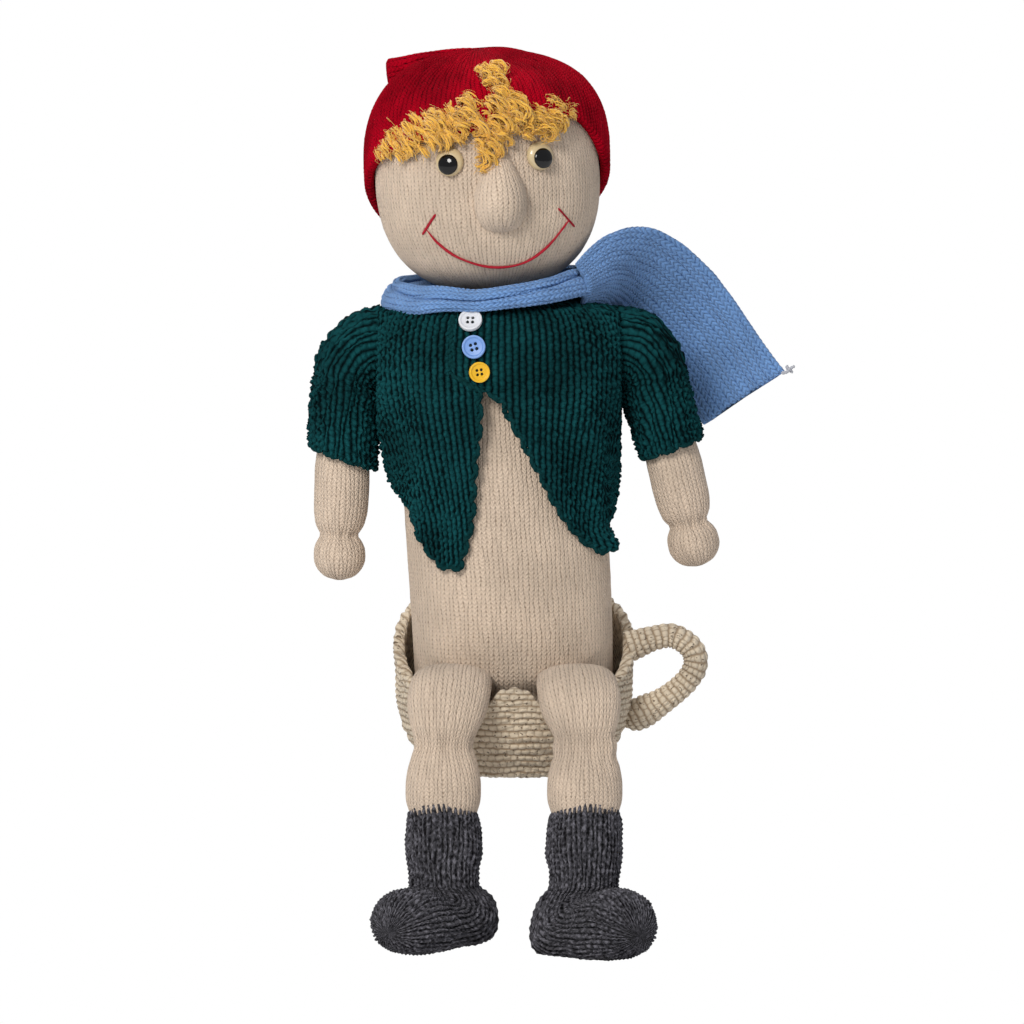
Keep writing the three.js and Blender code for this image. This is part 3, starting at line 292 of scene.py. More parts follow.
# Surfaces: rings of points, drawn out into rows and columns of stitches
def distances(points):
    return np.concatenate([[0], np.cumsum(np.linalg.norm(np.diff(points, axis=0), axis=-1))])


def along(points, shares):
    far = distances(points)
    goal = np.asarray(shares) * far[-1]
    return np.stack([np.interp(goal, far, points[:, k]) for k in range(3)], axis=1)


# A grid with its first column again at the end
def closed(grid):
    return np.concatenate([grid, grid[:, :1]], axis=1)


def evenRings(rings, count):
    shares = np.arange(count) / count
    return np.stack([along(ring, shares) for ring in closed(rings)])


def evenRows(rings, count):
    gaps = np.linalg.norm(np.diff(rings, axis=0), axis=-1).mean(axis=1)
    far = np.concatenate([[0], np.cumsum(gaps)])
    goal = np.linspace(0, far[-1], count)
    place = np.clip(np.interp(goal, far, np.arange(len(far))), 0, len(far) - 1.000001)
    low = place.astype(int)
    share = (place - low)[:, None, None]
    return rings[low] * (1 - share) + rings[low + 1] * share, far[-1]


# From each point's neighbour behind to the one ahead, round the ring
def aroundRings(rings):
    return np.roll(rings, -1, axis=1) - np.roll(rings, 1, axis=1)


def ringNormals(rings):
    return unit(np.cross(aroundRings(rings), np.gradient(rings, axis=0)))


def ringVolume(rings):
    centre = rings.mean(axis=(0, 1))
    a = rings[:-1] - centre
    b = np.roll(a, -1, axis=1)
    c = rings[1:] - centre
    d = np.roll(c, -1, axis=1)
    return (np.cross(a, b) * c).sum() + (np.cross(b, d) * c).sum()


# One closed mesh; u and v are given at each point, and once more where the ring closes
def ringMesh(name, rings, u, v, material):
    rows, count = rings.shape[:2]
    caps = np.stack([rings[0].mean(axis=0), rings[-1].mean(axis=0)])
    points = np.concatenate([rings.reshape(-1, 3), caps]) * mm
    i, j = np.meshgrid(np.arange(rows - 1), np.arange(count), indexing="ij")
    corner = [(i, j), (i, j + 1), (i + 1, j + 1), (i + 1, j)]
    quads = np.stack([row * count + column % count for row, column in corner], -1)
    uvU, uvV = [np.stack([field[place] for place in corner], -1) for field in (u, v)]
    ring, top = np.arange(count), (rows - 1) * count
    first = np.stack([np.full(count, rows * count), (ring + 1) % count, ring], -1)
    last = np.stack([np.full(count, rows * count + 1), top + ring, top + (ring + 1) % count], -1)
    fan = np.stack([ring + 0.5, ring + 1, ring], -1) * (u.max() / count)
    fanLast = np.stack([ring + 0.5, ring, ring + 1], -1) * (u.max() / count)
    if ringVolume(rings) < 0:
        quads, uvU, uvV = quads[..., ::-1], uvU[..., ::-1], uvV[..., ::-1]
        first, last, fan, fanLast = first[:, ::-1], last[:, ::-1], fan[:, ::-1], fanLast[:, ::-1]
    corners = np.concatenate([quads.reshape(-1), first.reshape(-1), last.reshape(-1)])
    sizes = np.concatenate([np.full((rows - 1) * count, 4), np.full(2 * count, 3)])
    ends = [np.full(3 * count, v[row, :-1].mean()) for row in (0, -1)]
    flatU = np.concatenate([uvU.reshape(-1), fan.reshape(-1), fanLast.reshape(-1)])
    flatV = np.concatenate([uvV.reshape(-1), *ends])
    mesh = bpy.data.meshes.new(name)
    mesh.vertices.add(len(points))
    mesh.vertices.foreach_set("co", points.reshape(-1))
    mesh.loops.add(len(corners))
    mesh.loops.foreach_set("vertex_index", corners)
    mesh.polygons.add(len(sizes))
    mesh.polygons.foreach_set("loop_start", np.concatenate([[0], np.cumsum(sizes)[:-1]]))
    mesh.polygons.foreach_set("loop_total", sizes)
    uvLayer = mesh.uv_layers.new(name="stitches")
    uvLayer.data.foreach_set("uv", np.stack([flatU, flatV], -1).reshape(-1))
    return linked(name, mesh, materials[material])


def linked(name, mesh, material):
    mesh.polygons.foreach_set("use_smooth", np.ones(len(mesh.polygons), bool))
    mesh.update(calc_edges=True)
    mesh.validate()
    mesh.materials.append(material)
    piece = bpy.data.objects.new(name, mesh)
    bpy.context.scene.collection.objects.link(piece)
    return piece


# A slow wave of x that is bent by a wave of y
def wander(x, y, rate, bend, turn):
    return np.sin(x * rate + bend * np.sin(y * turn))


# Raises each stitch out of the rings; columns and rows wander a little, as hand knitting does
def raised(rings, u, v, stitch, relief, wobble):
    drift = wobble * (wander(u, v, 0.83, 1.7, 0.21) + wander(v, u, 0.61, 1.3, 0.37)) / 2
    normals = ringNormals(rings) * (-1 if ringVolume(rings) < 0 else 1)
    return rings + normals * (relief * (stitch(u + drift * 0.3, v + drift) - 0.5))[..., None]


# A knitted skin over rings of points; pitch is a stitch's width and height in millimetres
def knit(name, rings, material, pitch=(2.9, 2.6), relief=0.42, samples=(4, 1), stitch=None,
         wobble=0.12, widest=None, sway=0.2):
    stitch = stitch or (columnsOnly if samples[1] == 1 else stockinette)
    girth = np.linalg.norm(np.diff(closed(rings), axis=1), axis=-1).sum(axis=1)
    columns = 2 * max(3, round((widest or girth.max()) / pitch[0] / 2))
    count = columns * samples[0]
    even = evenRings(rings, count)
    rowCount = max(2, round(evenRows(even, 2)[1] / pitch[1]))
    even = evenRows(even, rowCount * samples[1] + 1)[0]
    seamU, seamV = np.meshgrid(np.arange(count + 1) / samples[0],
                               np.arange(rowCount * samples[1] + 1) / samples[1])
    u, v = seamU[:, :-1], seamV[:, :-1]
    # where a ring is narrow, its crowded stitches lie flatter
    apart = np.linalg.norm(np.roll(even, -1, axis=1) - even, axis=-1)
    slim = np.clip(apart * samples[0] / pitch[0] * 1.4, 0, 1)
    even = raised(even, u, v, stitch, relief * slim, wobble)
    lean = wander(u, v, 1.9, 2.2, 0.23) + wander(v, u, 0.37, 3.1, 0.31) + 0.6 * wander(v, u, 1.1, 5.0, 0.7)
    even = even + unit(aroundRings(even)) * (pitch[0] * sway / 2 * slim * lean)[..., None]
    return ringMesh(name, even, seamU, seamV, material)


# A knitted surface with its columns and rows given at each point, so that an edge can cut across them
def knitField(name, rings, u, v, material, relief, stitch, wobble):
    return ringMesh(name, raised(rings, u, v, stitch, relief, wobble), closed(u), closed(v), material)


def superRing(count, halfWidth, halfDepth, power=2.0, start=pi / 2):
    angle = start + np.arange(count) / count * 2 * pi
    c, s = np.cos(angle), np.sin(angle)
    e = 2 / power
    return halfWidth * np.sign(c) * np.abs(c) ** e, halfDepth * np.sign(s) * np.abs(s) ** e


def catmull(points, count):
    p = np.array(points, float)
    p = np.concatenate([[2 * p[0] - p[1]], p, [2 * p[-1] - p[-2]]])
    out = []
    spans = len(p) - 3
    for t in np.linspace(0, spans, count):
        k = min(int(t), spans - 1)
        x = t - k
        a, b, c, d = p[k:k + 4]
        bend, twist = 2 * a - 5 * b + 4 * c - d, 3 * b - a - 3 * c + d
        out.append(0.5 * (2 * b + (c - a) * x + bend * x * x + twist * x ** 3))
    return np.array(out)


def smoothstep(x, low, high):
    t = np.clip((x - low) / (high - low), 0, 1)
    return t * t * (3 - 2 * t)


def lerp(a, b, t):
    return a + (b - a) * t


def unit(vectors):
    return vectors / np.maximum(np.linalg.norm(vectors, axis=-1, keepdims=True), 1e-9)


# A stuffed limb: sections of [share, half width, half thickness] along a path
def limbRings(path, sections, power=2.2, across=(1, 0, 0), count=96, steps=160):
    share = np.linspace(0, 1, steps)
    centres = along(catmull(path, 200), share)
    tangents = unit(np.gradient(centres, axis=0))
    widths, depths = keyed(share, sections)
    across = np.array(across, float)
    side = unit(across - tangents * (tangents @ across)[:, None])
    out = np.cross(tangents, side)
    x, y = superRing(count, 1.0, 1.0, power)
    return centres[:, None] + side[:, None] * (x[None] * widths[:, None])[..., None] \
        + out[:, None] * (y[None] * depths[:, None])[..., None]


# Every twentieth point and the last one
def sparse(points):
    return points[::20].tolist() + [points[-1].tolist()]


# Draws the rings into small pleats; pull is how strongly at each ring
def pleated(rings, pull, wave):
    turn = np.linspace(0, 2 * pi, rings.shape[1], endpoint=False)
    outwards = unit(rings - rings.mean(axis=1, keepdims=True))
    return rings + outwards * (pull[:, None] * wave(turn))[..., None]


# Values between keys on a smooth curve that doesn't overshoot
def smoothKeys(at, places, values):
    slopes = np.gradient(values, places)
    rise = np.diff(values) / np.diff(places)
    for k in range(len(values)):
        near = rise[max(0, k - 1):k + 1]
        limit = 3 * abs(near).min()
        slopes[k] = 0 if near.min() * near.max() <= 0 else np.clip(slopes[k], -limit, limit)
    if len(rise) > 1:
        slopes[0], slopes[-1] = rise[0], rise[-1]
    k = np.clip(np.searchsorted(places, at, side="right") - 1, 0, len(places) - 2)
    h = places[k + 1] - places[k]
    t = np.clip((at - places[k]) / h, 0, 1)
    return ((1 + 2 * t) * (1 - t) ** 2 * values[k] + t * (1 - t) ** 2 * h * slopes[k]
            + t * t * (3 - 2 * t) * values[k + 1] + t * t * (t - 1) * h * slopes[k + 1])


# Keys of [place, value, value ...]: each value at the places asked for
def keyed(at, keys):
    places, *columns = np.array(keys, float).T
    return [smoothKeys(at, places, values) for values in columns]


# What a piece rides on and stands for, whose CAD parts are hidden; a blended piece rides on no single body
def dress(piece, body, slotName, nodes=()):
    if body:
        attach(piece, body)
    if nodes:
        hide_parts(*nodes)
    return piece


# Torso; "lap" is where the thighs press it in: height at the middle, its rise at the sides, and how far
torso = {"halfWidth": 59, "halfDepth": 47, "bottomHalfWidth": 40, "height": 276, "seat": 45, "bottom": 5.9,
         "shoulderRound": 32, "neckHole": 23.4, "lean": 9, "power": 2.2, "lap": (53, 14, 0.2)}


def torsoLean(z):
    return -torso["lean"] * smoothstep(z, 40, torso["height"] - 20)


def torsoHalfWidth(z):
    full, shoulder = torso["halfWidth"], torso["height"] - torso["shoulderRound"]
    if z < torso["seat"]:
        t = (torso["seat"] - z) / (torso["seat"] - 5)
        return full + (torso["bottomHalfWidth"] - full) * t ** 2.2
    if z < shoulder:
        return full + 1.5 * sin((z - torso["seat"]) / (shoulder - torso["seat"]) * pi)
    t = min(1, (z - shoulder) / torso["shoulderRound"])
    return full + (torso["neckHole"] - full) * (1 - (1 - t ** 2.6) ** (1 / 1.9))


def makeTorso():
    rings = []
    lapHeight, lapRise, lapIn = torso["lap"]
    for z in lerp(torso["bottom"], torso["height"], np.linspace(0, 0.998, 220)):
        full = torsoHalfWidth(z)
        flat = (1 - torso["halfDepth"] / torso["halfWidth"]) * smoothstep(full, 21, torso["halfWidth"])
        x, y = superRing(120, full, full * (1 - flat), torso["power"])
        under = smoothstep(lapHeight + lapRise * (x / 45) ** 2 - z, -6, 10) * smoothstep(-y, 10, 40)
        rings.append(np.stack([torsoLean(z) + x, y * (1 - lapIn * under), np.full_like(x, z)], -1))
    skin = knit("torso", np.array(rings), "creamKnit")
    dress(skin, "torso", "cream_knit", ["torso_skin", "torso_filling"])


# Head, modelled about its own middle and then turned
head = {"side": 16, "height": 358, "halfWidth": 67, "halfDepth": 62, "halfHeight": 70, "square": 2.4,
        "turn": 5.5, "roll": 3.5}
headPlace = (Matrix.Translation((-head["side"], 0, head["height"]))
             @ Matrix.Rotation(radians(head["turn"]), 4, "Z")
             @ Matrix.Rotation(radians(-head["roll"]), 4, "Y"))
headTurn = np.array(headPlace.to_3x3())
headShift = np.array(headPlace.translation)


def onHead(points):
    return points @ headTurn.T + headShift


# A point of the head: degrees round from the face, height from its middle, and how far it stands out
def headPoint(azimuth, z, out=0.0):
    azimuth, z = np.radians(azimuth), np.asarray(z, float)
    height = head["halfHeight"] + out
    k = (1 - np.minimum(1, np.abs(z / height)) ** head["square"]) ** (1 / head["square"])
    z = np.clip(z, -height, height) + 0 * azimuth
    return np.stack([np.sin(azimuth) * k * (head["halfWidth"] + out),
                     -np.cos(azimuth) * k * (head["halfDepth"] + out), z], -1)


eyes = {"azimuth": 23.8, "height": 11, "radius": 8.6, "dome": 4.7, "pupil": 6.1, "pupilDome": 2.4,
        "pupilLift": 3.8, "rimUp": 1.8, "socket": 1.6, "socketWidth": 11}


def makeHead():
    rings = []
    for a in np.radians(np.linspace(-87, 87, 200)):
        z = head["halfHeight"] * np.sign(a) * abs(sin(a)) ** (2 / head["square"])
        rings.append(headPoint(180 + np.arange(144) * 2.5, z))
    rings = np.array(rings)
    for side in (-1, 1):  # the eyes pull the knitting in
        seat = headPoint(side * eyes["azimuth"], eyes["height"])
        away = np.linalg.norm(rings - seat, axis=-1)
        rings[..., 1] += eyes["socket"] * np.exp(-((away / eyes["socketWidth"]) ** 2))
    skin = knit("headSkin", onHead(rings), "creamKnit")
    dress(skin, "head", "cream_knit", ["head_skin"])


# The nose: rings from its tip under the bulge up to the forehead, as [height, half width, reach]
nose = {"side": 1.5, "sunk": 4,
        "sections": [(-31, 3, 0.2), (-29.6, 8, 4.5), (-26, 12.2, 9.4), (-20, 15, 13.8), (-13, 15.9, 16),
                     (-6, 15, 15.6), (1, 12.6, 12.6), (8, 9.6, 8.2), (14, 7.4, 4.4), (19, 6, 1.8),
                     (22, 4.6, 0.2)]}


def makeNose():
    heights = np.linspace(nose["sections"][0][0], nose["sections"][-1][0], 110)
    rings = []
    for z, half, reach in zip(heights, *keyed(heights, nose["sections"])):
        seat = headPoint(0, z)
        x, y = superRing(80, half, reach + nose["sunk"], 2.1)
        y = y * np.where(y < 0, 1, 0.4)
        rings.append(np.stack([seat[0] + nose["side"] + x, seat[1] + nose["sunk"] + y, z + 0 * x], -1))
    ball = knit("noseBall", onHead(np.array(rings)), "creamKnit", relief=0.45, widest=84)
    dress(ball, "head", "cream_knit", ["nose"])


# Hat; "tongues" are where its brim hangs lower or higher: [degrees round, width in degrees, millimetres]
hat = {"ease": 1.4, "thickness": 5, "brimFront": 31, "brimSide": -4, "brimBack": -42,
       "tongues": [(50, 20, 13), (-85, 32, 7)], "pitch": (3.4, 3.0)}


# A parabola through the brim's heights in front, at the side and behind
def brimHeight(y):
    front, back = -head["halfDepth"] * 0.9, head["halfDepth"] * 0.8
    rise, fall = hat["brimFront"] - hat["brimSide"], hat["brimBack"] - hat["brimSide"]
    bend = (rise / front - fall / back) / (front - back)
    return hat["brimSide"] + (rise / front - bend * front) * y + bend * y * y


def brimAround(azimuths):
    z = np.full(len(azimuths), float(hat["brimSide"]))
    for _ in range(14):
        z = brimHeight(headPoint(azimuths, z)[:, 1])
    turned = np.mod(np.asarray(azimuths) + 180, 360) - 180
    return z + sum(size * np.exp(-(((turned - at) / width) ** 2)) for at, width, size in hat["tongues"])


def makeHat():
    azimuths = 180 + np.arange(120) * 3.0
    brim = brimAround(azimuths)
    outOf = hat["ease"] + hat["thickness"]

    def ring(share, out):
        top = head["halfHeight"] + out
        low = np.arcsin(np.clip(brim / top, -1, 1))
        return headPoint(azimuths, top * np.sin(lerp(low, radians(86), share)), out)

    outside = []
    for k in np.linspace(0, 1, 110):  # soft sags, none at the brim and the crown
        sag = 1.5 * np.sin(np.radians(azimuths * 5 + 150 * k)) * sin(pi * k) + 1.2 * sin(6 * k) \
            + 1.6 * np.sin(np.radians(azimuths * 2 + 60 - 260 * k)) * sin(pi * k) ** 0.7
        outside.append(ring(k, outOf))
        outside[-1] += unit(outside[-1] * np.array([1, 1, 0.8])) * sag[:, None]
    edge = [ring(0.0, outOf - hat["thickness"] / 2 * (1 - cos(a))) - np.array([0, 0, 1.6 * sin(a)])
            for a in np.linspace(0, pi, 7)]
    inside = [ring(k, hat["ease"]) for k in np.linspace(0, 0.5, 12)]
    shell = np.array(outside[::-1] + edge[1:-1] + inside)
    cap = knit("hatCap", onHead(shell), "redKnit", hat["pitch"], 1.1, (4, 2))
    dress(cap, "head", "red_yarn", ["hat"])
    makeHatEnd()


# The tip of the hat is folded flat to the doll's right; its corner stands off the crown
hatEnd = {"path": [(14, 0, 57.5), (-8, 1, 60), (-32, 4, 58), (-46, 8, 55), (-54, 12, 53.5)],
          "halfWidth": 15.5, "thickness": 10}


def makeHatEnd():
    path = catmull(hatEnd["path"], 120)
    tangents = unit(np.gradient(path, axis=0))
    across = unit(np.cross(np.array([0.1, -1, 0.25]), tangents))
    flat = np.cross(tangents, across)
    rings = []
    for k, t in enumerate(np.linspace(0, 1, 120)):
        end = max(0.1, sqrtEnd(t, 0.9))
        half = hatEnd["halfWidth"] * (1 + 0.25 * t) * max(0.55, end ** 0.3)
        x, y = superRing(96, half, hatEnd["thickness"] / 2 * end, 3.6)
        pleat = 1.1 * np.sin(x * 0.55 + 5 * t) * smoothstep(t, 0.2, 0.7) * (y < 0)
        rings.append(path[k] + across[k] * x[:, None] + flat[k] * (y + pleat)[:, None])
    end = knit("hatEnd", onHead(np.array(rings)), "redKnit", hat["pitch"], 0.8, (4, 2))
    dress(end, "head", "red_yarn")


# Rounds off the last part of a tube
def sqrtEnd(t, start):
    return 1.0 if t < start else max(0.05, 1 - ((t - start) / (1 - start)) ** 2.2) ** 0.5


# Tubes whose rings turn about a pivot, as at a shoulder or an ankle.
# Keys: [turn in degrees, slide before, slide after, offset, length across, half width, roundness]
def fanRings(pivot, firstNormal, firstOut, lastTurn, keys, count=110, steps=150):
    shares = np.linspace(0, 1, len(keys))
    rows = zip(*keyed(np.linspace(0, 1, steps), np.column_stack([shares, keys])))
    n0, e0 = np.array(firstNormal, float), np.array(firstOut, float)
    side = np.cross(n0, e0)
    last = radians(lastTurn)
    n1 = n0 * cos(last) - e0 * sin(last)
    rings = []
    for turn, before, after, offset, length, half, power in rows:
        e = e0 * cos(radians(turn)) + n0 * sin(radians(turn))
        centre = np.array(pivot) + n0 * before + n1 * after + e * (offset + length / 2)
        x, y = superRing(count, length / 2, half, power, start=0.0)
        rings.append(centre + e * x[:, None] + side * y[:, None])
    return np.array(rings)


# Arms: one knitted tube from the shoulder to the hand, tied at the fifth point of its path.
# Sections are [millimetres from the wrist's tie, radius]
arms = {
    "left": [(-92, 0, 253), (-97, 0, 222), (-102.4, 0, 190.2), (-103.4, 0, 166), (-104.6, 0, 143.2),
             (-104.6, 0, 114.6)],
    "right": [(72, 0, 253), (83, 0, 223), (93.9, 0, 192.9), (99.1, 0, 172), (104.3, 0, 151.1),
              (111.2, 0, 123.2)],
}
armFlat = {"left": -84.6, "right": 66.8}  # no nearer to the jacket than this, as the arm swings past it
armSections = [(-118, 8), (-114, 12.5), (-108, 13.2), (-80, 14.6), (-56, 15.4), (-36, 16.3), (-22, 16.2),
               (-11, 15.3), (-4.5, 13.4), (-1.4, 11.2), (0, 10.7), (1.6, 11.4), (5, 13.7), (10, 15.2),
               (15, 15.3), (20, 13.9), (24, 11.2), (27, 7.2), (28.6, 2.2)]
wrist = {"pull": 0.8, "width": 5.5, "blend": 4}


def makeArms():
    first, last = armSections[0][0], armSections[-1][0]
    sections = [((d - first) / (last - first), r, r * 0.99) for d, r in armSections]
    pull = wrist["pull"] * np.exp(-((np.linspace(first, last, 220) / wrist["width"]) ** 2))
    for side, path in arms.items():
        points, tie = catmull(path, 300), np.array(path[4], float)
        far = distances(points)
        start = far[np.linalg.norm(points - tie, axis=1).argmin()] + first
        points = along(points, np.linspace(max(0, start) / far[-1], 1, 300))
        rings = pleated(limbRings(sparse(points), sections, 2.0, steps=220), pull,
                        lambda turn: np.sin(9 * turn + np.sin(2 * turn)) * 0.6 + np.sin(5 * turn + 1) * 0.4)
        rings[..., 0] = (np.minimum if side == "left" else np.maximum)(rings[..., 0], armFlat[side])
        skin = knit("arm" + side.title(), rings, "creamKnit")
        down = unit(np.array(path[5], float) - tie) * wrist["blend"]
        dress(skin, None, "cream_knit", ["arm_" + side, "hand_" + side])
        tuple((tie - down) * mm)
        tuple((tie + down) * mm)
        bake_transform(skin)


# Sleeves turn about the armpit; keys are those of fanRings
sleeves = {
    "left": {"pivot": (-80.2, 0, 228), "out": -1, "flat": (0.15, 0.09), "keys": [
        [0, 0, 0, 0, 51, 25, 2.1], [20, 0, 0, 0, 49.5, 26, 2.1], [45, 0, 0, 0, 45, 26, 2.1],
        [70, 0, 0, -1, 43, 25, 2.1], [70, 0, 14, -4.5, 43.5, 24, 2.1], [70, 0, 30, -9.5, 44, 22.6, 2.1],
        [70, 0, 43, -14, 44.5, 21.8, 2.1]]},
    "right": {"pivot": (62.4, 0, 227), "out": 1, "flat": (0.15, 0.085), "keys": [
        [0, 0, 0, 0, 52, 25, 2.1], [20, 0, 0, 0, 52, 26, 2.1], [45, 0, 0, 0, 47, 26, 2.1],
        [70, 0, 0, 0, 43, 25, 2.1], [70, 0, 14, 0, 42, 24, 2.1], [70, 0, 28, -0.5, 41, 22.4, 2.1],
        [70, 0, 40, -1, 40, 21.4, 2.1]]},
}
sleeveThickness = 4.4
mossPitch, mossRelief = (4.2, 3.9), 2.2


def makeSleeves():
    t = sleeveThickness
    for side, sleeve in sleeves.items():
        outer = sleeve["keys"]
        inner = [[key[0], 0, key[2] - up, key[3] + t, key[4] - 2 * t, key[5] - t, 2.1]
                 for key, up in zip(outer[:-4:-1], (0.3, 0, 0))]
        rings, lining = [fanRings(sleeve["pivot"], (sleeve["out"], 0, 0), (0, 0, 1), outer[-1][0], keys,
                                  steps=steps) for keys, steps in ((outer, 150), (inner, 24))]
        towards = (rings[-1] - rings[-4]).mean(axis=0)
        hem = (rings[-1] * 0.6 + lining[0] * 0.4) + 1.2 * unit(towards)
        rings = np.concatenate([rings, roundedHem(rings[-1], lining[0], towards), lining])
        skin = knit("sleeve" + side.title(), rings, "greenKnit", mossPitch, mossRelief, (5, 5), mossColumns,
                    wobble=0.7, sway=0.35)
        makeEdging("sleeveEdge" + side.title(), np.concatenate([hem, hem[:2]]), "arm_" + side)
        dress(skin, "arm_" + side, "green_yarn", ["sleeve_" + side])


# Half a turn from one ring to another, bulging 2.2 mm
def roundedHem(first, last, towards):
    return np.array([lerp(first, last, (1 - cos(a)) / 2) + unit(towards) * 2.2 * sin(a)
                     for a in np.linspace(0, pi, 7)[1:-1]])


# Jacket: rows of [height from the neck edge, half width, half depth]
jacket = {"neck": 285, "thickness": 5, "power": 2.2, "seamLeft": -81.5, "seamRight": 63.5}
jacketRows = [(-165, 64, 54), (-135, 64.5, 54.5), (-115, 67.5, 57), (-87, 73, 60), (-60, 78.6, 61.5),
              (-35, 80, 61.5), (-23, 79, 60), (-15, 77, 58), (-10, 74.5, 55), (-6.5, 71, 51.5),
              (-4, 65, 48.5), (-2, 57, 45), (0, 46, 41)]
overlapEdge = -109
# Each panel runs from its seam, in degrees round, to its edge, as [height, degrees round].
# "hem" has its heights at both ends, "bend" the shares between which it falls
panels = {
    "jacketBack": {"node": "jacket_back", "flat": (0.24, 0.185), "seam": 0.3, "hem": (152, 174),
                   "bend": (0.3, 1), "rows": 150, "columns": 250, "edge": [(100, 179.7), (286, 179.7)]},
    "jacketLeft": {"node": "jacket_front_left", "flat": (0.1, 0.19), "seam": -179.7, "hem": (174, 126),
                   "bend": (0.02, 0.85), "rows": 200, "columns": 190,
                   "edge": [(126, -116), (155, -107), (185, -102.5), (215, -98), (231, -97.5), (238, -103.6),
                            (244, -109.6), (286, -109.6)]},
    "jacketRight": {"node": "jacket_front_right", "flat": (0.12, 0.19), "seam": -0.3, "hem": (152, 133),
                    "bend": (0.02, 0.85), "rows": 200, "columns": 190,
                    "edge": [(133, -34), (155, -58), (185, -74.5), (215, -86.5), (231, -93), (238, -102),
                             (244, -109), (286, -109)]},
}


def jacketPoint(angle, z, depth):
    level = z - jacket["neck"]
    halfWidth, halfDepth = keyed(level, jacketRows)
    slope = (keyed(level + 1.5, jacketRows)[0] - keyed(level - 1.5, jacketRows)[0]) / 3
    inwards = depth / np.hypot(1, slope)
    c, s = np.cos(np.radians(angle)), np.sin(np.radians(angle))
    e = 2 / jacket["power"]
    # soft folds that run down and out from the buttons and the armpits
    away = np.mod(angle + 103, 360)
    away = np.minimum(away, 360 - away)
    strength = 1.3 * smoothstep(-z, -262, -215) * smoothstep(away, 6, 30)
    fold = strength * np.sin(away * 0.17 + (z - 244) * 0.055)
    x = (halfWidth + fold - inwards) * np.sign(c) * np.abs(c) ** e
    y = (halfDepth + fold - inwards) * np.sign(s) * np.abs(s) ** e
    return np.stack([torsoLean(z) + x, y, z + inwards * slope], -1)


# Shares from 0 to 1 that lie closer together at both ends
def crowded(count, ends):
    even = np.linspace(0, 1, count)
    return (1 - np.cos(even * pi)) / 2 * ends + even * (1 - ends)


# Seam to edge outside, and back inside; the columns are upright, and the front edge and hem cut across them
def makePanel(name):
    panel, middle = panels[name], jacket["thickness"] / 2
    seam, edge, count = panel["seam"], panel["edge"], panel["columns"]
    last = (max if seam < -90 else min)(angle for _, angle in edge)
    reference = np.linspace(seam, last, 300)
    far = distances(jacketPoint(reference, np.full(300, 235.0), 0))
    heights = np.linspace(100, jacket["neck"] + 1, 200)
    upwards = distances(jacketPoint(np.full(200, -90.0), heights, 0))
    shares = crowded(count, 0.35)
    hem = lerp(*panel["hem"], smoothstep(shares, *panel["bend"]))
    rings, us, vs = [], [], []
    for up in crowded(panel["rows"], 0.25):
        z = lerp(hem, jacket["neck"], up)
        angle = lerp(seam, keyed(z, edge)[0], shares)
        across = distances(jacketPoint(angle, z, middle))
        border = np.minimum(np.minimum(across, across[-1] - across), min(up, 1 - up) * 130)
        half = middle * np.sqrt(np.clip(1 - (1 - np.minimum(border / 2.6, 1)) ** 2, 0.002, 1))
        outer, inner = [jacketPoint(angle, z, middle + depth) for depth in (-half, half)]
        ring = np.concatenate([outer, inner[::-1]])
        for limit, sign in ((jacket["seamLeft"], -1), (jacket["seamRight"], 1)):
            ring[:, 0] -= sign * 0.97 * np.maximum(0, sign * (ring[:, 0] - limit))
        if "Right" in name:  # the tip turns out like a small tab
            flip = smoothstep(-ring[:, 2], -150, -132) * smoothstep(ring[:, 0], 36, 60)
            ring += np.array([9.0, -4.0, 3.0]) * flip[:, None]
        rings.append(ring)
        column = np.interp(np.abs(angle - seam), np.abs(reference - seam), far) / mossPitch[0]
        row = np.interp(z, heights, upwards) / mossPitch[1]
        us.append(np.concatenate([column, column[::-1]]))
        vs.append(np.concatenate([row, row[::-1]]))
    rings, us, vs = np.array(rings), np.array(us), np.array(vs)
    piece = knitField(name, rings, us, vs, "greenKnit", mossRelief, mossColumns, wobble=0.7)
    dress(piece, "torso", "green_yarn", [panel["node"]])
    return (rings[0, :count] + rings[0, count:][::-1]) / 2, (rings[:, count - 1] + rings[:, count]) / 2


# A plaited edge: two plies that cross, drawn as one flattened rope
def makeEdging(name, path, body, radius=1.7, pitch=6.0):
    length = np.linalg.norm(np.diff(path, axis=0), axis=1).sum()
    points = along(path, np.linspace(0, 1, int(length / 0.7)))
    tangents = unit(np.gradient(points, axis=0))
    side = unit(np.cross(tangents, np.array([0.11, -0.9, 0.2])))
    out = np.cross(tangents, side)
    far = np.linspace(0, length, len(points)) / pitch * pi
    tubes = []
    for phase in (0, pi / 2):
        swing = 0.8 * radius * np.sin(far + phase)[:, None]
        lift = 0.45 * radius * np.sin(2 * (far + phase))[:, None]
        tubes.append(strand(points + side * swing + out * lift, radius * 0.72, twist=0.4 * length, sides=8))
    rope = strandMesh(name, tubes, plain["green"])
    dress(rope, body, "green_yarn")


def makeJacket():
    backHem = makePanel("jacketBack")[0]
    for name in ("jacketLeft", "jacketRight"):
        hem, front = makePanel(name)
        edge = np.concatenate([hem[2:-3:3], front[3::3]]) + np.array([0, -0.6, 0])
        makeEdging(name + "Edge", edge, "torso")
    makeEdging("jacketBackEdge", backHem[2:-2:3], "torso")


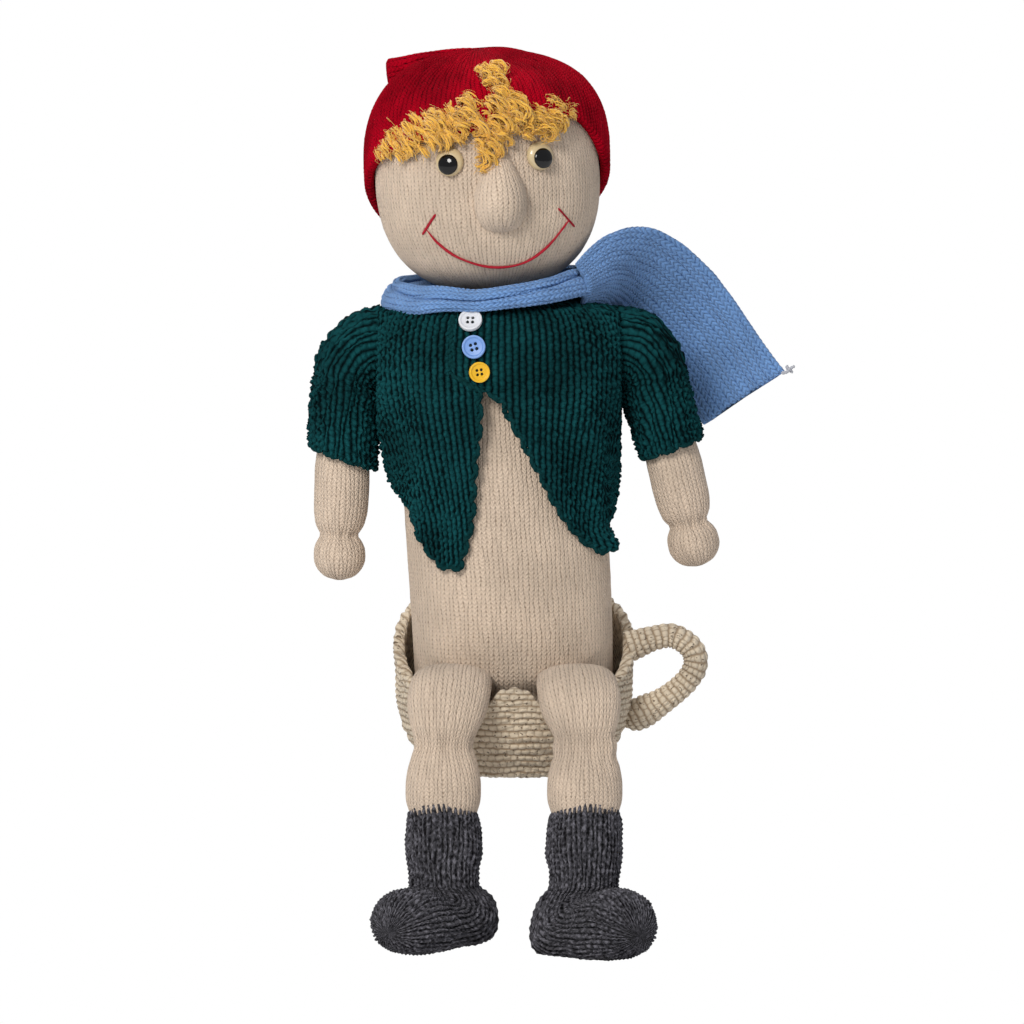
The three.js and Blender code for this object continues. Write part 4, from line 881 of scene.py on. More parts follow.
# Legs: one knitted tube from the hip's gathered seam to the ankle, drawn in at the knee.
# Sections are [millimetres from the knee, half width, half thickness]
legs = {"kneeSpacing": 84, "knee": (-90, 24), "kneeHalf": {"left": 16.6, "right": 18.8},
        "hip": [(35, -38, 61), (36.5, -58, 60), (38.5, -76, 53.5), (41, -87.5, 39.5)]}
thighSections = [(-65, 20, 1.6), (-64, 21.6, 3.4), (-61.5, 22.4, 4.6), (-58.5, 21.6, 4.4), (-54, 22, 6.8),
                 (-46, 23.2, 10.6), (-36, 24, 14.4), (-26, 24, 16.4), (-17, 22.6, 15.4), (-10, 20, 12.8),
                 (-4.5, 17.6, 10.2)]
shinSections = [(5, 18.2, 11.4), (11, 20.2, 15.6), (19, 21.8, 19.4), (28, 22.2, 20.8), (34, 21.6, 20.8),
                (38.5, 20.2, 19.8), (44, 18.7, 18.7), (70, 17.6, 17.6), (80, 15, 15), (82.5, 8, 8)]
sides = (("left", -1), ("right", 1))


def makeLegs():
    for side, sign in sides:
        kneeX, (kneeY, kneeZ) = sign * legs["kneeSpacing"] / 2, legs["knee"]
        path = [(sign * x, y, z) for x, y, z in legs["hip"]] + [(kneeX, kneeY, kneeZ)] \
            + [(kneeX, kneeY - back, kneeZ - down) for back, down in ((0.5, 14), (0, 30), (0, 55), (0, 82.5))]
        points = catmull(path, 400)
        far = distances(points)
        knee = far[np.linalg.norm(points - np.array(path[4]), axis=1).argmin()]
        sections = np.array(thighSections + [(0, legs["kneeHalf"][side], 9.0)] + shinSections)
        above, below = knee / -thighSections[0][0], (far[-1] - knee) / shinSections[-1][0]
        sections[:, 0] = (knee + sections[:, 0] * np.where(sections[:, 0] < 0, above, below)) / far[-1]
        share = np.linspace(0, far[-1], 260)
        pull = np.exp(-(((share - knee) / 8) ** 2)) + 0.8 * np.exp(-((share / 6) ** 2))
        rings = pleated(limbRings(sparse(points), sections, steps=260), pull,
                        lambda turn: 0.65 * np.sin(11 * turn + 1.2 * np.sin(2 * turn + sign))
                        + 0.35 * np.sin(6 * turn + sign))
        skin = knit("leg" + side.title(), rings, "creamKnit")
        dress(skin, None, "cream_knit", ["thigh_" + side, "shin_" + side])
        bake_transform(skin)


# Boots: a ribbed shaft that turns at the ankle into a long foot; keys are those of fanRings
boots = {"drop": 125, "toeOut": 46, "radius": 22.3, "top": -17.0, "rise": 9.5, "pivot": 21.8, "lining": 18.9,
         "liningDown": 22, "keys": [
             [0, 0, 0, 0.8, 41.4, 20.6, 2.0], [0, 9, 0, 0.4, 43.6, 21.6, 2.0], [0, 22, 0, 0.4, 44, 22.4, 2.0],
             [0, 34, 0, 2.0, 40, 20.6, 2.0], [3, 41, 0, 2.6, 40.4, 20.2, 2.0],
             [11, 43, 0, 2.4, 50, 20.8, 2.1], [23, 43, 0, 2, 60, 22, 2.2], [35, 43, 0, 2, 66, 22.8, 2.3],
             [47, 43, 0, 1.6, 59.5, 23.6, 2.4], [64, 43, 0, 1.2, 46.5, 24.2, 2.4],
             [90, 43, 0, 0.6, 41, 24.8, 2.4], [90, 43, 6, 0.8, 40.2, 24.8, 2.4],
             [90, 43, 12, 3.0, 36.4, 23.6, 2.4], [90, 43, 17, 7.2, 30, 20.8, 2.3],
             [90, 43, 20, 12, 22.6, 16.6, 2.2], [90, 43, 22, 17.6, 14, 11.4, 2.1],
             [90, 43, 22.8, 23, 6, 5.2, 2.0]]}


def makeBoots():
    for side, sign in sides:
        kneeX, kneeY = sign * legs["kneeSpacing"] / 2, legs["knee"][0]
        sole = legs["knee"][1] - boots["drop"]
        turn = radians(sign * boots["toeOut"])
        toe = np.array([sin(turn), -cos(turn), 0.0])
        ankle = np.array([kneeX, kneeY, 0.0])
        # the foot's rings fan from the shaft (level) to the toe (upright) about the front of the ankle
        pivot = ankle + toe * boots["pivot"] + np.array([0, 0, boots["top"]])
        rings = cuffRise(fanRings(pivot, (0, 0, -1), -toe, 90, boots["keys"], 130, 240), kneeY)
        x, y = superRing(130, boots["lining"], boots["lining"], 2.0, start=0.0)
        xs, ys = kneeX - toe[0] * x + toe[1] * y, kneeY - toe[1] * x - toe[0] * y
        lining = [np.stack([xs, ys, np.full_like(x, z)], -1)
                  for z in boots["top"] - boots["liningDown"] * np.linspace(0, 1, 14)]
        lining = cuffRise(matchStart(np.array(lining), rings[0]), kneeY)
        inwards = roundedHem(lining[0], rings[0], np.array([0, 0, 1.0]))
        whole = np.concatenate([lining[::-1], inwards, rings])
        # the sole is pressed flat
        whole[..., 2] = np.maximum(whole[..., 2], sole + 0.25 + 0.04 * np.minimum(0, whole[..., 2] - sole))
        if side == "left":  # this foot hangs a little crooked, its heel up
            behind = (ankle + toe * 44 - whole) @ toe
            whole[..., 2] += (2 + 0.085 * behind) * smoothstep(-whole[..., 2], 56, 84)
        skin = knit("boot" + side.title(), whole, "greyKnit", (4.2, 2.9), 1.9, (6, 2), ribbing, sway=0.3)
        dress(skin, "shin_" + side, "grey_yarn", ["boot_" + side, "foot_filling_" + side])


# The cuff stands higher in front; what is raised fades out down the shaft
def cuffRise(rings, middleY):
    fade = smoothstep(rings[..., 2], boots["top"] - 58, boots["top"] - 1)
    rings = rings.copy()
    rings[..., 2] -= (boots["rise"] * (rings[..., 1] - middleY) / boots["radius"] + 1.0) * fade
    return rings


def matchStart(rings, first):
    away = np.linalg.norm(rings[0] - first[0], axis=-1)
    return np.roll(rings, -int(away.argmin()), axis=1)


# Scarf; the keys of its ring are [degrees round, height, half width], and "inner" is the inner turn's half
# width, half depth and height
scarf = {"halfWidth": 60, "halfDepth": 55, "slope": 60, "side": -12.5, "pitch": (3.6, 3.3), "crease": 3.0,
         "inner": (42, 39.5, 286.4),
         "ring": [(-180, 286.5, 9.2), (-134, 285.6, 8.6), (-102, 286.8, 6.4), (-60, 290.8, 7.4),
                  (-30, 295, 8.6), (0, 295, 9.2), (45, 292, 9.2), (90, 289.5, 9.2), (135, 287.5, 9.2),
                  (180, 286.5, 9.2)]}


# The ring is one strip folded along its length, drawn narrower in front where it is pulled up
def makeScarfRing():
    rings = []
    angles = np.linspace(0, 2 * pi, 260, endpoint=False)
    turned = np.degrees(np.mod(angles + pi, 2 * pi) - pi)
    for angle, height, half in zip(angles, *keyed(turned, scarf["ring"])):
        wide, deep = scarf["halfWidth"], scarf["halfDepth"]
        centre = np.array([scarf["side"] + wide * cos(angle), deep * sin(angle), height])
        outwards = unit(np.array([cos(angle) / wide, sin(angle) / deep, 0]))
        slope = radians(scarf["slope"] + 5 * sin(3 * angle + 1))
        x, y = superRing(64, half, 4.4, 2.2, start=0.0)
        crease = np.exp(-(((x / half - 0.1 - 0.35 * sin(angle * 2 + 2)) / 0.14) ** 2)) * (y > 0)
        y = y - scarf["crease"] * crease + 0.5 * sin(11 * angle)
        x = x + 0.5 * sin(5 * angle) + 0.4 * sin(9 * angle + 1)
        rings.append(centre + outwards * (-x * cos(slope) + y * sin(slope))[:, None]
                     + np.array([0, 0, 1.0]) * (x * sin(slope) + y * cos(slope))[:, None])
    band = knit("scarfRing", np.array(rings + [rings[0]]), "blueKnit", scarf["pitch"], 1.4, (4, 3), sway=0.15)
    dress(band, "torso", "blue_yarn", ["scarf_wrap"])
    wide, deep, height = scarf["inner"]
    inner = []
    for angle in np.linspace(0, 2 * pi, 200, endpoint=False):
        x, y = superRing(64, 10.5 + sin(angle), 3.0, 2.2, start=0.0)
        slope = radians(25 + 8 * sin(angle))
        r = x * cos(slope) - y * sin(slope)
        z = height - 0.3 * sin(angle) + x * sin(slope) + y * cos(slope)
        inner.append(np.stack([scarf["side"] + (wide + r) * cos(angle), (deep + r) * sin(angle), z], -1))
    inner = np.array(inner + [inner[0]])
    turn = knit("scarfInnerTurn", inner, "blueKnit", scarf["pitch"], 1.0, (4, 3), sway=0.15)
    dress(turn, "torso", "blue_yarn")


# A flat strip along a path; its width, the way it spreads and its fold are given at each share of it
def stripRings(points, halfWidthAt, spreadAt, foldAt, thickness=5.0, steps=170, count=140, endAt=0.985):
    path = along(catmull(points, 200), np.linspace(0, 1, steps))
    tangents = unit(np.gradient(path, axis=0))
    rings = []
    for k, t in enumerate(np.linspace(0, 1, steps)):
        spread = np.array(spreadAt(t), float)
        spread = unit(spread - tangents[k] * (spread @ tangents[k]))
        flat = np.cross(tangents[k], spread)
        half = halfWidthAt(t)
        end = max(0.12, sqrtEnd(t, endAt) if t > 0.5 else sqrtEnd(1 - t, endAt))
        x, y = superRing(count, half, thickness / 2 * end, 3.2, start=0.0)
        fold = foldAt(t) * np.cos(x / half * 2.2) + 0.5 * np.sin(x * 0.33 + 9 * t) * smoothstep(t, 0.2, 0.6)
        rings.append(path[k] + spread * x[:, None] + flat * (y + fold)[:, None])
    return np.array(rings)


tails = {"path": [(40, -30, 294), (58.5, -6, 300.5), (78, 21, 293), (104, 37, 268), (122, 41, 245),
                  (139, 42, 221)],
         "backPath": [(22, 53, 296.6), (24, 67, 278.6), (25, 70, 247.6), (26, 68, 201.6)]}


def makeScarfTails():
    width = lambda t: lerp(10, 31, smoothstep(t, -0.1, 0.36)) * (1 - 0.05 * sin(t * 9))
    spread = lambda t: (lerp(0.1, 0.9, smoothstep(t, 0, 0.85)), lerp(0.1, -0.25, smoothstep(t, 0, 0.6)),
                        lerp(1, 0.45, smoothstep(t, 0.1, 1)))
    rings = stripRings(tails["path"], width, spread, lambda t: lerp(4, -3, smoothstep(t, 0, 0.7)))
    back = stripRings(tails["backPath"], lambda t: lerp(15, 26, smoothstep(t, 0, 0.8)),
                      lambda t: (1, -0.2, 0), lambda t: 3.0)
    for name, shape, node, flat in (("scarfTail", rings, "scarf_tail", (0.06, 0.187)),
                                    ("scarfBackTail", back, "scarf_back_tail", (0.05, 0.111))):
        tail = knit(name, shape, "blueKnit", (3.9, 3.4), 1.0, (4, 3))
        dress(tail, "torso", "blue_yarn", [node])
    makeTailKnot(rings[-3][rings[-3][:, 0].argmax()] + np.array([0.5, 0, -0.5]))


# The end of the grey yarn at the tail's outer corner
def makeTailKnot(corner):
    tubes = []
    t = np.linspace(0, 1, 30)[:, None]
    for turn, reach in ((0.0, 7), (2.1, 5), (4.0, 6)):
        swirl = [2.2 * np.cos(turn + 5 * t), 2.0 * np.sin(turn + 5 * t), 2.0 * np.sin(turn + 7 * t)]
        end = np.array([reach, 0.4, 2 * cos(turn)])
        tubes.append(strand(corner + np.concatenate(swirl, 1) * (1 - t) + t * end, 0.9, twist=8.0))
    dress(strandMesh("tailKnot", tubes, plain["greyYarn"]), "torso", "grey_yarn")


# Cup; the handle's path is [share of its reach, share of its height], its sections [share, radius, radius]
cup = {"base": 50, "rim": 71, "wall": 4, "floor": 5, "front": 45, "back": 104, "rowHeight": 3.8,
       "points": 440, "columns": 84, "edge": 1.3, "scallop": 1.9}
handle = {"reach": 38, "low": 33, "high": 74,
          "path": [(-0.06, 1.0), (0.34, 1.13), (0.66, 1.16), (0.94, 0.98), (1, 0.74), (0.84, 0.48),
                   (0.5, 0.22), (0.12, 0.02), (-0.17, -0.1)],
          "sections": [(0, 9, 9), (0.06, 8.4, 8.4), (0.16, 7.2, 7.2), (0.5, 7, 7), (0.74, 7.4, 7.6),
                       (0.87, 9, 9.6), (0.95, 7.6, 8), (1, 3, 3)]}


def cupRadius(z):
    t = np.minimum(1, z / (cup["front"] * 1.1))
    return cup["base"] + (cup["rim"] - cup["base"]) * np.sin(t * pi / 2)


# Low in front, where the legs hang over it, with a small rise between them
def cupRim(angle):
    between = 8 * np.exp(-(((np.mod(angle, 2 * pi) - 1.5 * pi) / 0.17) ** 4))
    return cup["front"] + between + (cup["back"] - cup["front"]) * smoothstep((1 + np.sin(angle)) / 2, 0, 1)


def makeCup():
    angle = np.arange(cup["points"]) / cup["points"] * 2 * pi
    rim, floor, swell = cupRim(angle), cup["floor"], cup["edge"]
    scallop = cup["scallop"] * np.abs(np.sin(angle * 23))
    ring = lambda r, z: np.stack([r * np.cos(angle), r * np.sin(angle), z + 0 * angle], -1)
    ridge = lambda z: 1.5 * np.abs(np.sin(pi * z / 7.6)) * smoothstep(-z, -31, -25)
    shares = np.linspace(0.05, 0.98, 22)
    rings = [ring(cup["base"] * s, 0.6) for s in shares]
    rows = [0 * angle - (0.98 - s) * cup["base"] for s in shares]
    for share in np.linspace(0.0, 1, 110):
        z = lerp(1.0, rim, share) + scallop * smoothstep(share, 0.92, 1)
        rings.append(ring(cupRadius(z) + swell * np.exp(-(((1 - share) / 0.1) ** 2)) + ridge(z), z))
        rows.append(z)
    for a in np.linspace(0, pi, 9)[1:-1]:
        out = swell * cos(a) - cup["wall"] / 2 * (1 - cos(a))
        rings.append(ring(cupRadius(rim) + out, rim + 1.8 * sin(a) + scallop))
        rows.append(rim + scallop + 2 * a)
    for share in np.linspace(1, 0, 60):
        z = lerp(floor, rim, share) + scallop * smoothstep(share, 0.92, 1)
        rings.append(ring(cupRadius(z) - cup["wall"] - swell * share ** 6, z))
        rows.append(2 * rim + 8 - z)
    shares = np.linspace(0.95, 0.05, 20)
    rings += [ring(cupRadius(floor) * s, floor) for s in shares]
    rows += [2 * rim + 8 - floor + (0.95 - s) * cup["base"] for s in shares]
    columns = np.broadcast_to(angle / (2 * pi) * cup["columns"], (len(rings), cup["points"]))
    bowl = knitField("cupBowl", np.array(rings), columns, np.array(rows) / cup["rowHeight"], "cupKnit", 1.1,
                     crochetRows, wobble=0.9)
    dress(bowl, "cup", "cup_yarn", ["cup_bowl"])
    path = [(cup["rim"] + handle["reach"] * x, 0, lerp(handle["low"], handle["high"], z))
            for x, z in handle["path"]]
    rings = limbRings(path, handle["sections"], 2.0, across=(0, 1, 0))
    loop = knit("cupHandle", rings, "cupKnit", (4.4, 4.2), 1.0, (5, 4), crochetRows)
    dress(loop, "cup", "cup_yarn", ["cup_handle"])


# Hair, mouth and other single strands of yarn; a strand is two plies wound round each other
def strand(points, radius, twist=0.0, sides=8, taper=True):
    tangents = unit(np.gradient(points, axis=0))
    side = unit(np.cross(tangents, np.array([0.13, 0.21, 0.97])) + 1e-6)
    out = np.cross(tangents, side)
    share = np.linspace(0, 1, len(points))
    size = radius * (np.minimum(1, np.sqrt(np.minimum(share, 1 - share) * 14 + 0.08)) if taper else 1)
    around = np.arange(sides) / sides * 2 * pi
    angle = around[None] + twist * share[:, None]
    ply = 1 + 0.16 * np.cos(2 * angle + 40 * twist * share[:, None])
    turned = side[:, None] * np.cos(angle)[..., None] + out[:, None] * np.sin(angle)[..., None]
    return points[:, None] + turned * (size * np.ones(len(points)))[:, None, None] * ply[..., None]


# Joins many closed tubes into one mesh
def strandMesh(name, tubes, material):
    points, faces, start = [], [], 0
    for tube in tubes:
        rows, count = tube.shape[:2]
        if ringVolume(tube) < 0:
            tube = tube[:, ::-1]
        points += [tube.reshape(-1, 3), tube[0].mean(axis=0)[None], tube[-1].mean(axis=0)[None]]
        grid = start + np.arange(rows * count).reshape(rows, count)
        nextGrid = np.roll(grid, -1, axis=1)
        faces += np.stack([grid[:-1], nextGrid[:-1], nextGrid[1:], grid[1:]], -1).reshape(-1, 4).tolist()
        first, last = start + rows * count, start + rows * count + 1
        faces += [(first, b, a) for a, b in zip(grid[0], nextGrid[0])]
        faces += [(last, a, b) for a, b in zip(grid[-1], nextGrid[-1])]
        start += rows * count + 2
    mesh = bpy.data.meshes.new(name)
    mesh.from_pydata((np.concatenate(points) * mm).tolist(), [], faces)
    return linked(name, mesh, material)


# Eyes and buttons are shaped from primitives
def shaped(name, material):
    piece = bpy.context.object
    piece.name = name
    piece.data.name = name
    piece.data.materials.append(material)
    for polygon in piece.data.polygons:
        polygon.use_smooth = True
    return piece


def put(piece, place):
    piece.data.transform(place)
    piece.data.update()
    return piece


def placeAt(point, outwards, spin=0.0):
    turn = Vector(outwards).to_track_quat("Z", "Y").to_matrix().to_4x4()
    return Matrix.Translation(Vector(point) * mm) @ turn @ Matrix.Rotation(spin, 4, "Z")


def plainMaterial(name, colour, roughness, coat=0.0, grain=0.0, specular=0.5, sheen=0.0):
    material, tree, shader = newMaterial(name, roughness, sheen, specular, coat)
    place = addNode(tree, "ShaderNodeTexCoord", output=3)
    cloud = noise(tree, place, 260.0, 3.0)
    light, dark = srgb(*colour), tuple(c * (0.86 - 0.7 * grain) for c in srgb(*colour))
    tone = mixColour(tree, cloud, dark, light)
    relief = noise(tree, place, 900.0, 3.0)
    return finished(material, shader, tone, relief, 0.06 + grain, 0.0004)


plain = {
    "eyeRim": plainMaterial("eyeRim", (206, 186, 146), 0.28, coat=0.3),
    "eyePupil": plainMaterial("eyePupil", (5, 4, 5), 0.05, specular=0.4),
    "washer": plainMaterial("washer", (236, 236, 232), 0.45),
    "whiteButton": plainMaterial("whiteButton", (224, 226, 230), 0.38),
    "blueButton": plainMaterial("blueButton", (112, 152, 214), 0.38),
    "yellowButton": plainMaterial("yellowButton", (236, 184, 34), 0.38),
    "thread": plainMaterial("thread", (20, 30, 30), 0.9, grain=0.2),
    "hair": plainMaterial("hair", (248, 192, 68), 0.85, grain=0.25, specular=0.15, sheen=0.4),
    "mouth": plainMaterial("mouth", (172, 14, 40), 0.9, grain=0.2),
    "green": plainMaterial("green", (14, 58, 60), 0.95, grain=0.4, specular=0.05),
    "greyYarn": plainMaterial("greyYarn", (196, 198, 206), 0.9, grain=0.3, specular=0.1),
    "neckCream": plainMaterial("neckCream", (224, 204, 178), 0.95, grain=0.3, specular=0.05, sheen=0.15),
    "stuffing": plainMaterial("stuffing", (238, 234, 224), 0.95, grain=0.2),
}


def makeEyes():
    parts = (("", eyes["radius"], eyes["dome"], 0.0, eyes["rimUp"], "eyeRim", "eye_cream"),
             ("_pupil", eyes["pupil"], eyes["pupilDome"], eyes["pupilLift"], 0.0, "eyePupil", "eye_black"))
    for side, sign in sides:
        azimuth = sign * eyes["azimuth"]
        out = unit(np.array([sin(radians(azimuth)), -cos(radians(azimuth)), 0.12]))
        seat = headPoint(azimuth, eyes["height"]) + out * 0.2
        for part, radius, dome, lift, up, material, slotName in parts:
            place = placeAt(onHead(seat + np.array([0, 0.2 if up else 0, up])), headTurn @ out)
            bpy.ops.object.select_all(action="DESELECT")
            bpy.ops.mesh.primitive_uv_sphere_add(segments=48, ring_count=24, radius=radius * mm)
            bpy.ops.object.mode_set(mode="EDIT")
            bpy.ops.mesh.select_all(action="SELECT")
            bpy.ops.transform.resize(value=(1, 1, dome / radius))
            bpy.ops.transform.translate(value=(0, 0, lift * mm))
            bpy.ops.object.mode_set(mode="OBJECT")
            name = "lookEye" + side.title() + part[1:].title()
            dress(put(shaped(name, plain[material]), place), "head", slotName, ["eye_" + side + part])


# Each button's colour and its turn; sizes, and how far they lie below the neck and apart
buttons = (("white", 0.0), ("blue", 0.3), ("yellow", 0.15))
buttonSize = {"radius": 7, "thickness": 2.8, "rim": 1.2, "dish": 0.8, "hole": 0.95, "pitch": 3.0,
              "below": 11.6, "apart": 14.6}


def makeButtons():
    r, high, half = buttonSize["radius"], buttonSize["thickness"], buttonSize["pitch"] / 2
    for i, (colour, spin) in enumerate(buttons):
        z = np.array(jacket["neck"] - buttonSize["below"] - buttonSize["apart"] * i)
        angle = overlapEdge + 8 + 2 * i
        at = jacketPoint(angle, z, 0.0)
        out = unit(np.cross(jacketPoint(angle + 3, z, 0.0) - at, jacketPoint(angle, z + 1.0, 0.0) - at))
        place = placeAt(at + out, out, spin)
        bpy.ops.object.select_all(action="DESELECT")
        bpy.ops.mesh.primitive_cylinder_add(vertices=72, radius=r * mm, depth=high * mm,
                                            location=(0, 0, high / 2 * mm))
        bpy.ops.object.transform_apply(location=True)
        bpy.ops.object.mode_set(mode="EDIT")
        bpy.ops.mesh.select_all(action="DESELECT")
        bpy.ops.object.mode_set(mode="OBJECT")
        max(bpy.context.object.data.polygons, key=lambda p: p.center.z).select = True
        bpy.ops.object.mode_set(mode="EDIT")
        bpy.ops.mesh.select_mode(type="FACE")
        bpy.ops.mesh.inset(thickness=buttonSize["rim"] * mm)
        bpy.ops.mesh.inset(thickness=0.6 * mm, depth=-buttonSize["dish"] * mm)
        bpy.ops.object.mode_set(mode="OBJECT")
        button = shaped("lookButton" + colour.title(), plain[colour + "Button"])
        cutters = []
        for x, y in ((-half, -half), (-half, half), (half, -half), (half, half)):
            bpy.ops.mesh.primitive_cylinder_add(vertices=24, radius=buttonSize["hole"] * mm, depth=0.02,
                                                location=(x * mm, y * mm, 0))
            cutters.append(bpy.context.object)
        bpy.ops.object.select_all(action="DESELECT")
        for cutter in cutters:
            cutter.select_set(True)
        bpy.context.view_layer.objects.active = cutters[0]
        bpy.ops.object.join()
        bpy.context.view_layer.objects.active = button
        cut = button.modifiers.new("holes", "BOOLEAN")
        cut.operation, cut.object, cut.solver = "DIFFERENCE", cutters[0], "EXACT"
        soften = button.modifiers.new("edges", "BEVEL")
        soften.width, soften.segments = 0.3 * mm, 3
        soften.limit_method, soften.angle_limit = "ANGLE", radians(35)
        bpy.ops.object.modifier_apply(modifier="holes")
        bpy.ops.object.modifier_apply(modifier="edges")
        bpy.data.objects.remove(cutters[0])
        if colour == "yellow":  # a little smaller, and tilted
            place = place @ Matrix.Diagonal((0.88, 0.88, 1, 1)) @ Matrix.Rotation(radians(14), 4, "Y")
        dress(put(button, place), "torso", colour + "_plastic", ["button_" + colour])
        threads = []
        for x in (-half, half):
            spots = ((-1, 0.1), (-1, 1.2), (-0.6, 1.5), (0.6, 1.5), (1, 1.2), (1, 0.1))
            tube = strand(catmull([(x, half * y, z) for y, z in spots], 24), 0.5)
            threads.append(np.array([[list(place @ Vector(p * mm)) for p in ring] for ring in tube]) / mm)
        thread = strandMesh("threadButton" + colour.title(), threads, plain["thread"])
        dress(thread, "torso", colour + "_plastic")


# The mouth's line and its two corners, as [degrees round, height]
mouth = {"line": [(-40.8, -27.2), (-35.3, -36), (-25.2, -45.2), (-6.9, -51.9), (13.7, -51.4), (28.8, -42.8),
                  (41.9, -27.1)],
         "corners": [[(-33.5, -18), (-44.4, -30.4)], [(33.2, -19.4), (47.4, -32)]], "radius": 0.75}


def makeMouth():
    tubes = []
    for spots in [mouth["line"]] + mouth["corners"]:
        points = np.array([headPoint(a, z, 0.9) for a, z in spots])
        path = along(catmull(points, 90), np.linspace(0, 1, 60 if len(spots) > 2 else 24))
        tubes.append(strand(onHead(path), mouth["radius"], twist=18.0, sides=10))
    dress(strandMesh("mouthYarn", tubes, plain["mouth"]), "head", "red_yarn")


# Tufts are [degrees round, height, drop, curl size]
hair = {"count": 140, "strands": 4, "points": 31, "radius": 0.58, "fibres": 5, "fibre": 0.17, "spread": 0.8,
        "frizz": 0.35, "left": -66, "right": 44,
        "tufts": [(-5, 27, 22, 3.2), (6, 52, 18, 3.4), (12, 44, 14, 3.4), (3, 60, 8, 3.0), (22, 38, 14, 3.4),
                  (34, 34, 10, 3.0)]}


# One curl: it springs from the brim and winds down the forehead
def curlPath(azimuth, start, drop, sway, turns, size, lift):
    t = np.linspace(0, 1, hair["points"])
    base = headPoint(azimuth + sway * t ** 1.3, start - drop * t, 0.0)
    outwards = unit(base * np.array([1, 1, 0.7]))
    side = unit(np.cross(np.array([0, 0, 1.0]), outwards))
    down = np.cross(outwards, side)
    angle = rng.uniform(0, 2 * pi) + 2 * pi * turns * t
    size = size * np.minimum(1, 0.35 + 1.6 * t) * (1 + 0.25 * np.sin(9 * t + rng.uniform(0, 6)))
    proud = 1.8 + size + lift * np.sin(pi * t * 0.8)
    return base + outwards * (proud + 0.75 * size * np.cos(angle))[:, None] \
        + side * (size * np.sin(angle))[:, None] + down * (0.6 * size * np.cos(angle + 0.6))[:, None]


# Smooth noise along a strand
def kinks(count, knots, size):
    spots = rng.normal(0, size, (knots, 3))
    at = np.linspace(0, knots - 1, count)
    low = np.minimum(at.astype(int), knots - 2)
    t = (at - low)[:, None]
    t = t * t * (3 - 2 * t)
    return spots[low] * (1 - t) + spots[low + 1] * t


def makeHair():
    locks = []
    for i in range(hair["count"]):
        share = np.clip((i + rng.uniform(-0.5, 0.5)) / hair["count"], 0, 1)
        azimuth = hair["left"] + (hair["right"] - hair["left"]) * share
        full = sin(pi * np.clip(share, 0.03, 0.97)) ** 0.6
        edge = float(brimAround(np.array([azimuth]))[0])
        clump = 0.5 + 0.5 * sin(share * 31 + 2)
        start = edge + rng.uniform(-2, 15) * full + 3
        drop = (rng.uniform(3, 10) + 7 * clump) * full + 3
        if abs(abs(azimuth) - eyes["azimuth"]) < 9:  # kept off the eyes
            drop = min(drop, max(3, start - 21))
        sway, turns, size = rng.uniform(-8, 8), rng.uniform(1.1, 2.6), rng.uniform(2.4, 4.4)
        lift = rng.uniform(0, 4.5) * full
        locks.append(curlPath(azimuth, start, drop, sway, turns, size * (0.6 + 0.4 * full), lift))
    for azimuth, start, drop, size in hair["tufts"]:
        for _ in range(8):
            locks.append(curlPath(azimuth + rng.uniform(-5, 5), start + rng.uniform(-4, 4),
                                  drop * rng.uniform(0.6, 1.1), rng.uniform(-5, 5), rng.uniform(1.0, 2.2),
                                  size * rng.uniform(0.7, 1.2), 8 if start > 40 else 2))
    tubes, fibres = [], []
    for lock in locks:
        for _ in range(hair["strands"]):
            points = lock + kinks(len(lock), 4, hair["spread"]) + kinks(len(lock), 16, hair["frizz"])
            tubes.append(strand(onHead(points), hair["radius"] * rng.uniform(0.7, 1.25), twist=6.0, sides=4))
        for _ in range(hair["fibres"]):
            points = lock[::2] + kinks(16, 3, 1.8) + kinks(16, 9, 1.0)
            fibres.append(strand(onHead(points), hair["fibre"], sides=3))
    curls = strandMesh("hairCurls", tubes, plain["hair"])
    dress(curls, "head", "yellow_yarn", ["hair_fringe"])
    fuzz = strandMesh("hairFuzz", fibres, plain["hair"])
    dress(fuzz, "head", "yellow_yarn")
    stage(f"hair has {len(curls.data.polygons)} and {len(fuzz.data.polygons)} faces")


# What lies inside and shows only as the joints turn
def finishInside():
    for name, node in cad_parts.items():
        for part, look in (("washer", "washer"), ("filling", "stuffing"), ("neck", "neckCream")):
            if part in name:
                node.data.materials.clear()
                node.data.materials.append(plain[look])


# Floor, backdrop, lights and camera; lights are [name, place, size, watts, colour]
studio = {"floor": -0.1015, "distance": 7.0, "elevation": 5, "width": 0.6144,
          "lookAt": (-0.0012, 0.0, 0.1554), "lightsAt": (0, 0, 0.15),
          "sky": (0.93, 0.95, 1.0, 1), "skyStrength": 0.46,
          "lights": [("key", (-0.75, -1.6, 1.25), 0.7, 28, (1, 0.97, 0.93)),
                     ("top", (0.2, 0.9, 1.7), 1.1, 14, (1, 1, 1))]}


# Lets the camera see one shader where the light falls on another
def seenAs(tree, seen, first, second):
    mix = addNode(tree, "ShaderNodeMixShader")
    for socket, shader in zip(mix.socket.node.inputs, (seen, first, second)):
        tree.links.new(shader.socket, socket)
    return mix


def placed(name, data, place, lookAt):
    piece = bpy.data.objects.new(name, data)
    piece.location = place
    piece.rotation_euler = (Vector(lookAt) - piece.location).to_track_quat("-Z", "Y").to_euler()
    bpy.context.scene.collection.objects.link(piece)
    return piece


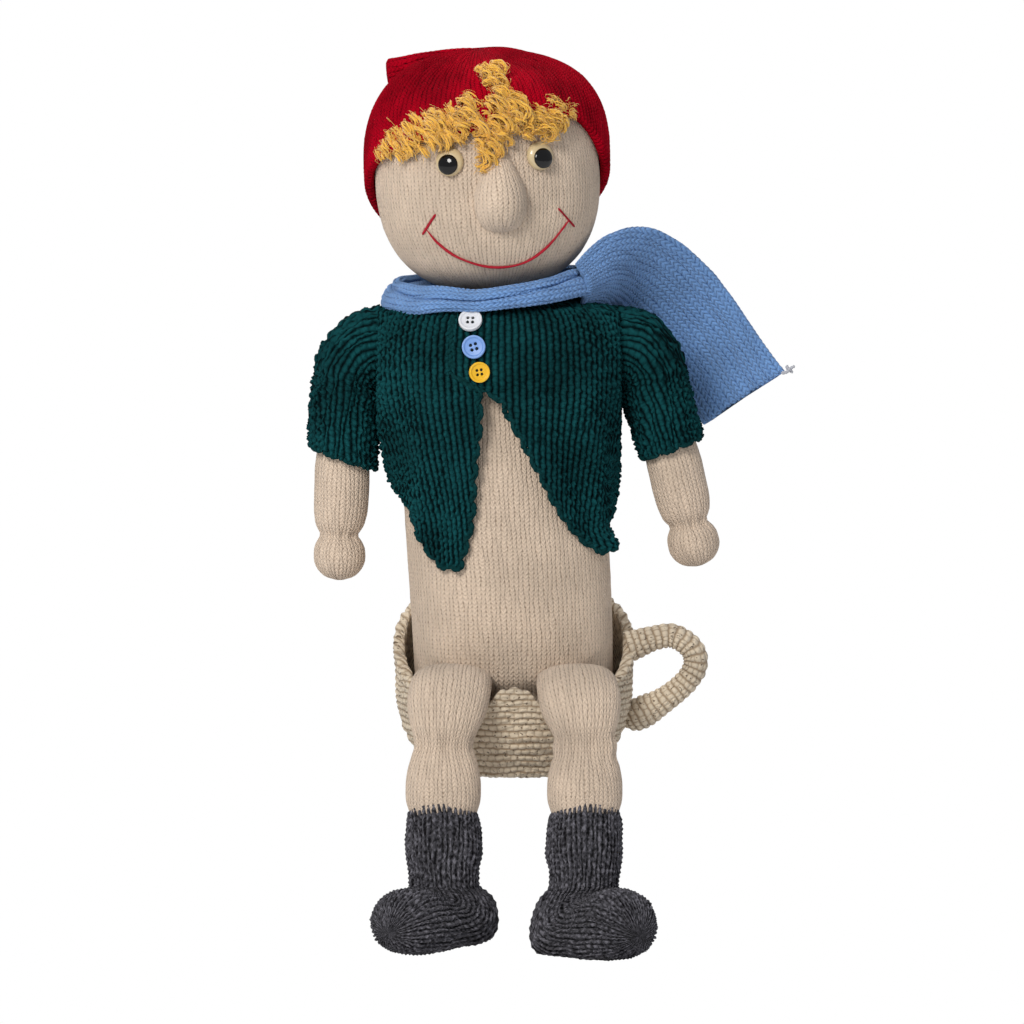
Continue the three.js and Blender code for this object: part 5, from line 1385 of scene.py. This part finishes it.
def makeStudio():
    bpy.ops.object.select_all(action="DESELECT")
    bpy.ops.mesh.primitive_plane_add(size=12, location=(0, 0, studio["floor"]))
    floor = bpy.context.object
    floor.name = "floor"
    material, tree, shader = newMaterial("floor", 0.9, specular=0.1)
    shader.inputs["Base Color"].default_value = (0.86, 0.86, 0.86, 1)
    glow = addNode(tree, "ShaderNodeEmission", {}, {"Strength": 1.0})
    camera, glossy, through = [addNode(tree, "ShaderNodeLightPath", output=ray + " Ray")
                               for ray in ("Is Camera", "Is Glossy", "Is Transmission")]
    mix = seenAs(tree, (camera + glossy + through).clamp(), Wire(tree, shader.outputs[0]), glow)
    tree.links.new(mix.socket, tree.nodes["Material Output"].inputs[0])
    floor.data.materials.append(material)
    world = bpy.data.worlds.new("studio")
    bpy.context.scene.world = world
    world.use_nodes = True
    tree = world.node_tree
    tree.nodes.clear()
    sky = addNode(tree, "ShaderNodeBackground", {}, {0: studio["sky"], 1: studio["skyStrength"]})
    white = addNode(tree, "ShaderNodeBackground", {}, {0: (1, 1, 1, 1), 1: 1.0})
    mix = seenAs(tree, addNode(tree, "ShaderNodeLightPath", output="Is Camera Ray"), sky, white)
    tree.links.new(mix.socket, tree.nodes.new("ShaderNodeOutputWorld").inputs[0])
    for name, place, size, power, colour in studio["lights"]:
        light = bpy.data.lights.new(name, "AREA")
        light.shape, light.size, light.energy, light.color = "DISK", size, power, colour
        placed(name, light, place, studio["lightsAt"])
    camera = bpy.data.cameras.new("camera")
    camera.angle = 2 * atan(studio["width"] / 2 / studio["distance"])
    tilt = radians(studio["elevation"])
    eye = Vector(studio["lookAt"]) + Vector((0, -cos(tilt), sin(tilt))) * studio["distance"]
    bpy.context.scene.camera = placed("camera", camera, eye, studio["lookAt"])
    bpy.context.scene.view_settings.view_transform = "Standard"


for text, make in (("torso", makeTorso), ("head", makeHead), ("nose", makeNose), ("hat", makeHat),
                   ("arms", makeArms), ("sleeves", makeSleeves), ("jacket", makeJacket), ("legs", makeLegs),
                   ("boots", makeBoots), ("scarf ring", makeScarfRing), ("scarf tails", makeScarfTails),
                   ("cup", makeCup), ("eyes", makeEyes), ("buttons", makeButtons), ("mouth", makeMouth),
                   ("hair", makeHair), ("inside", finishInside), ("studio", makeStudio)):
    make()
    stage(text + " made")
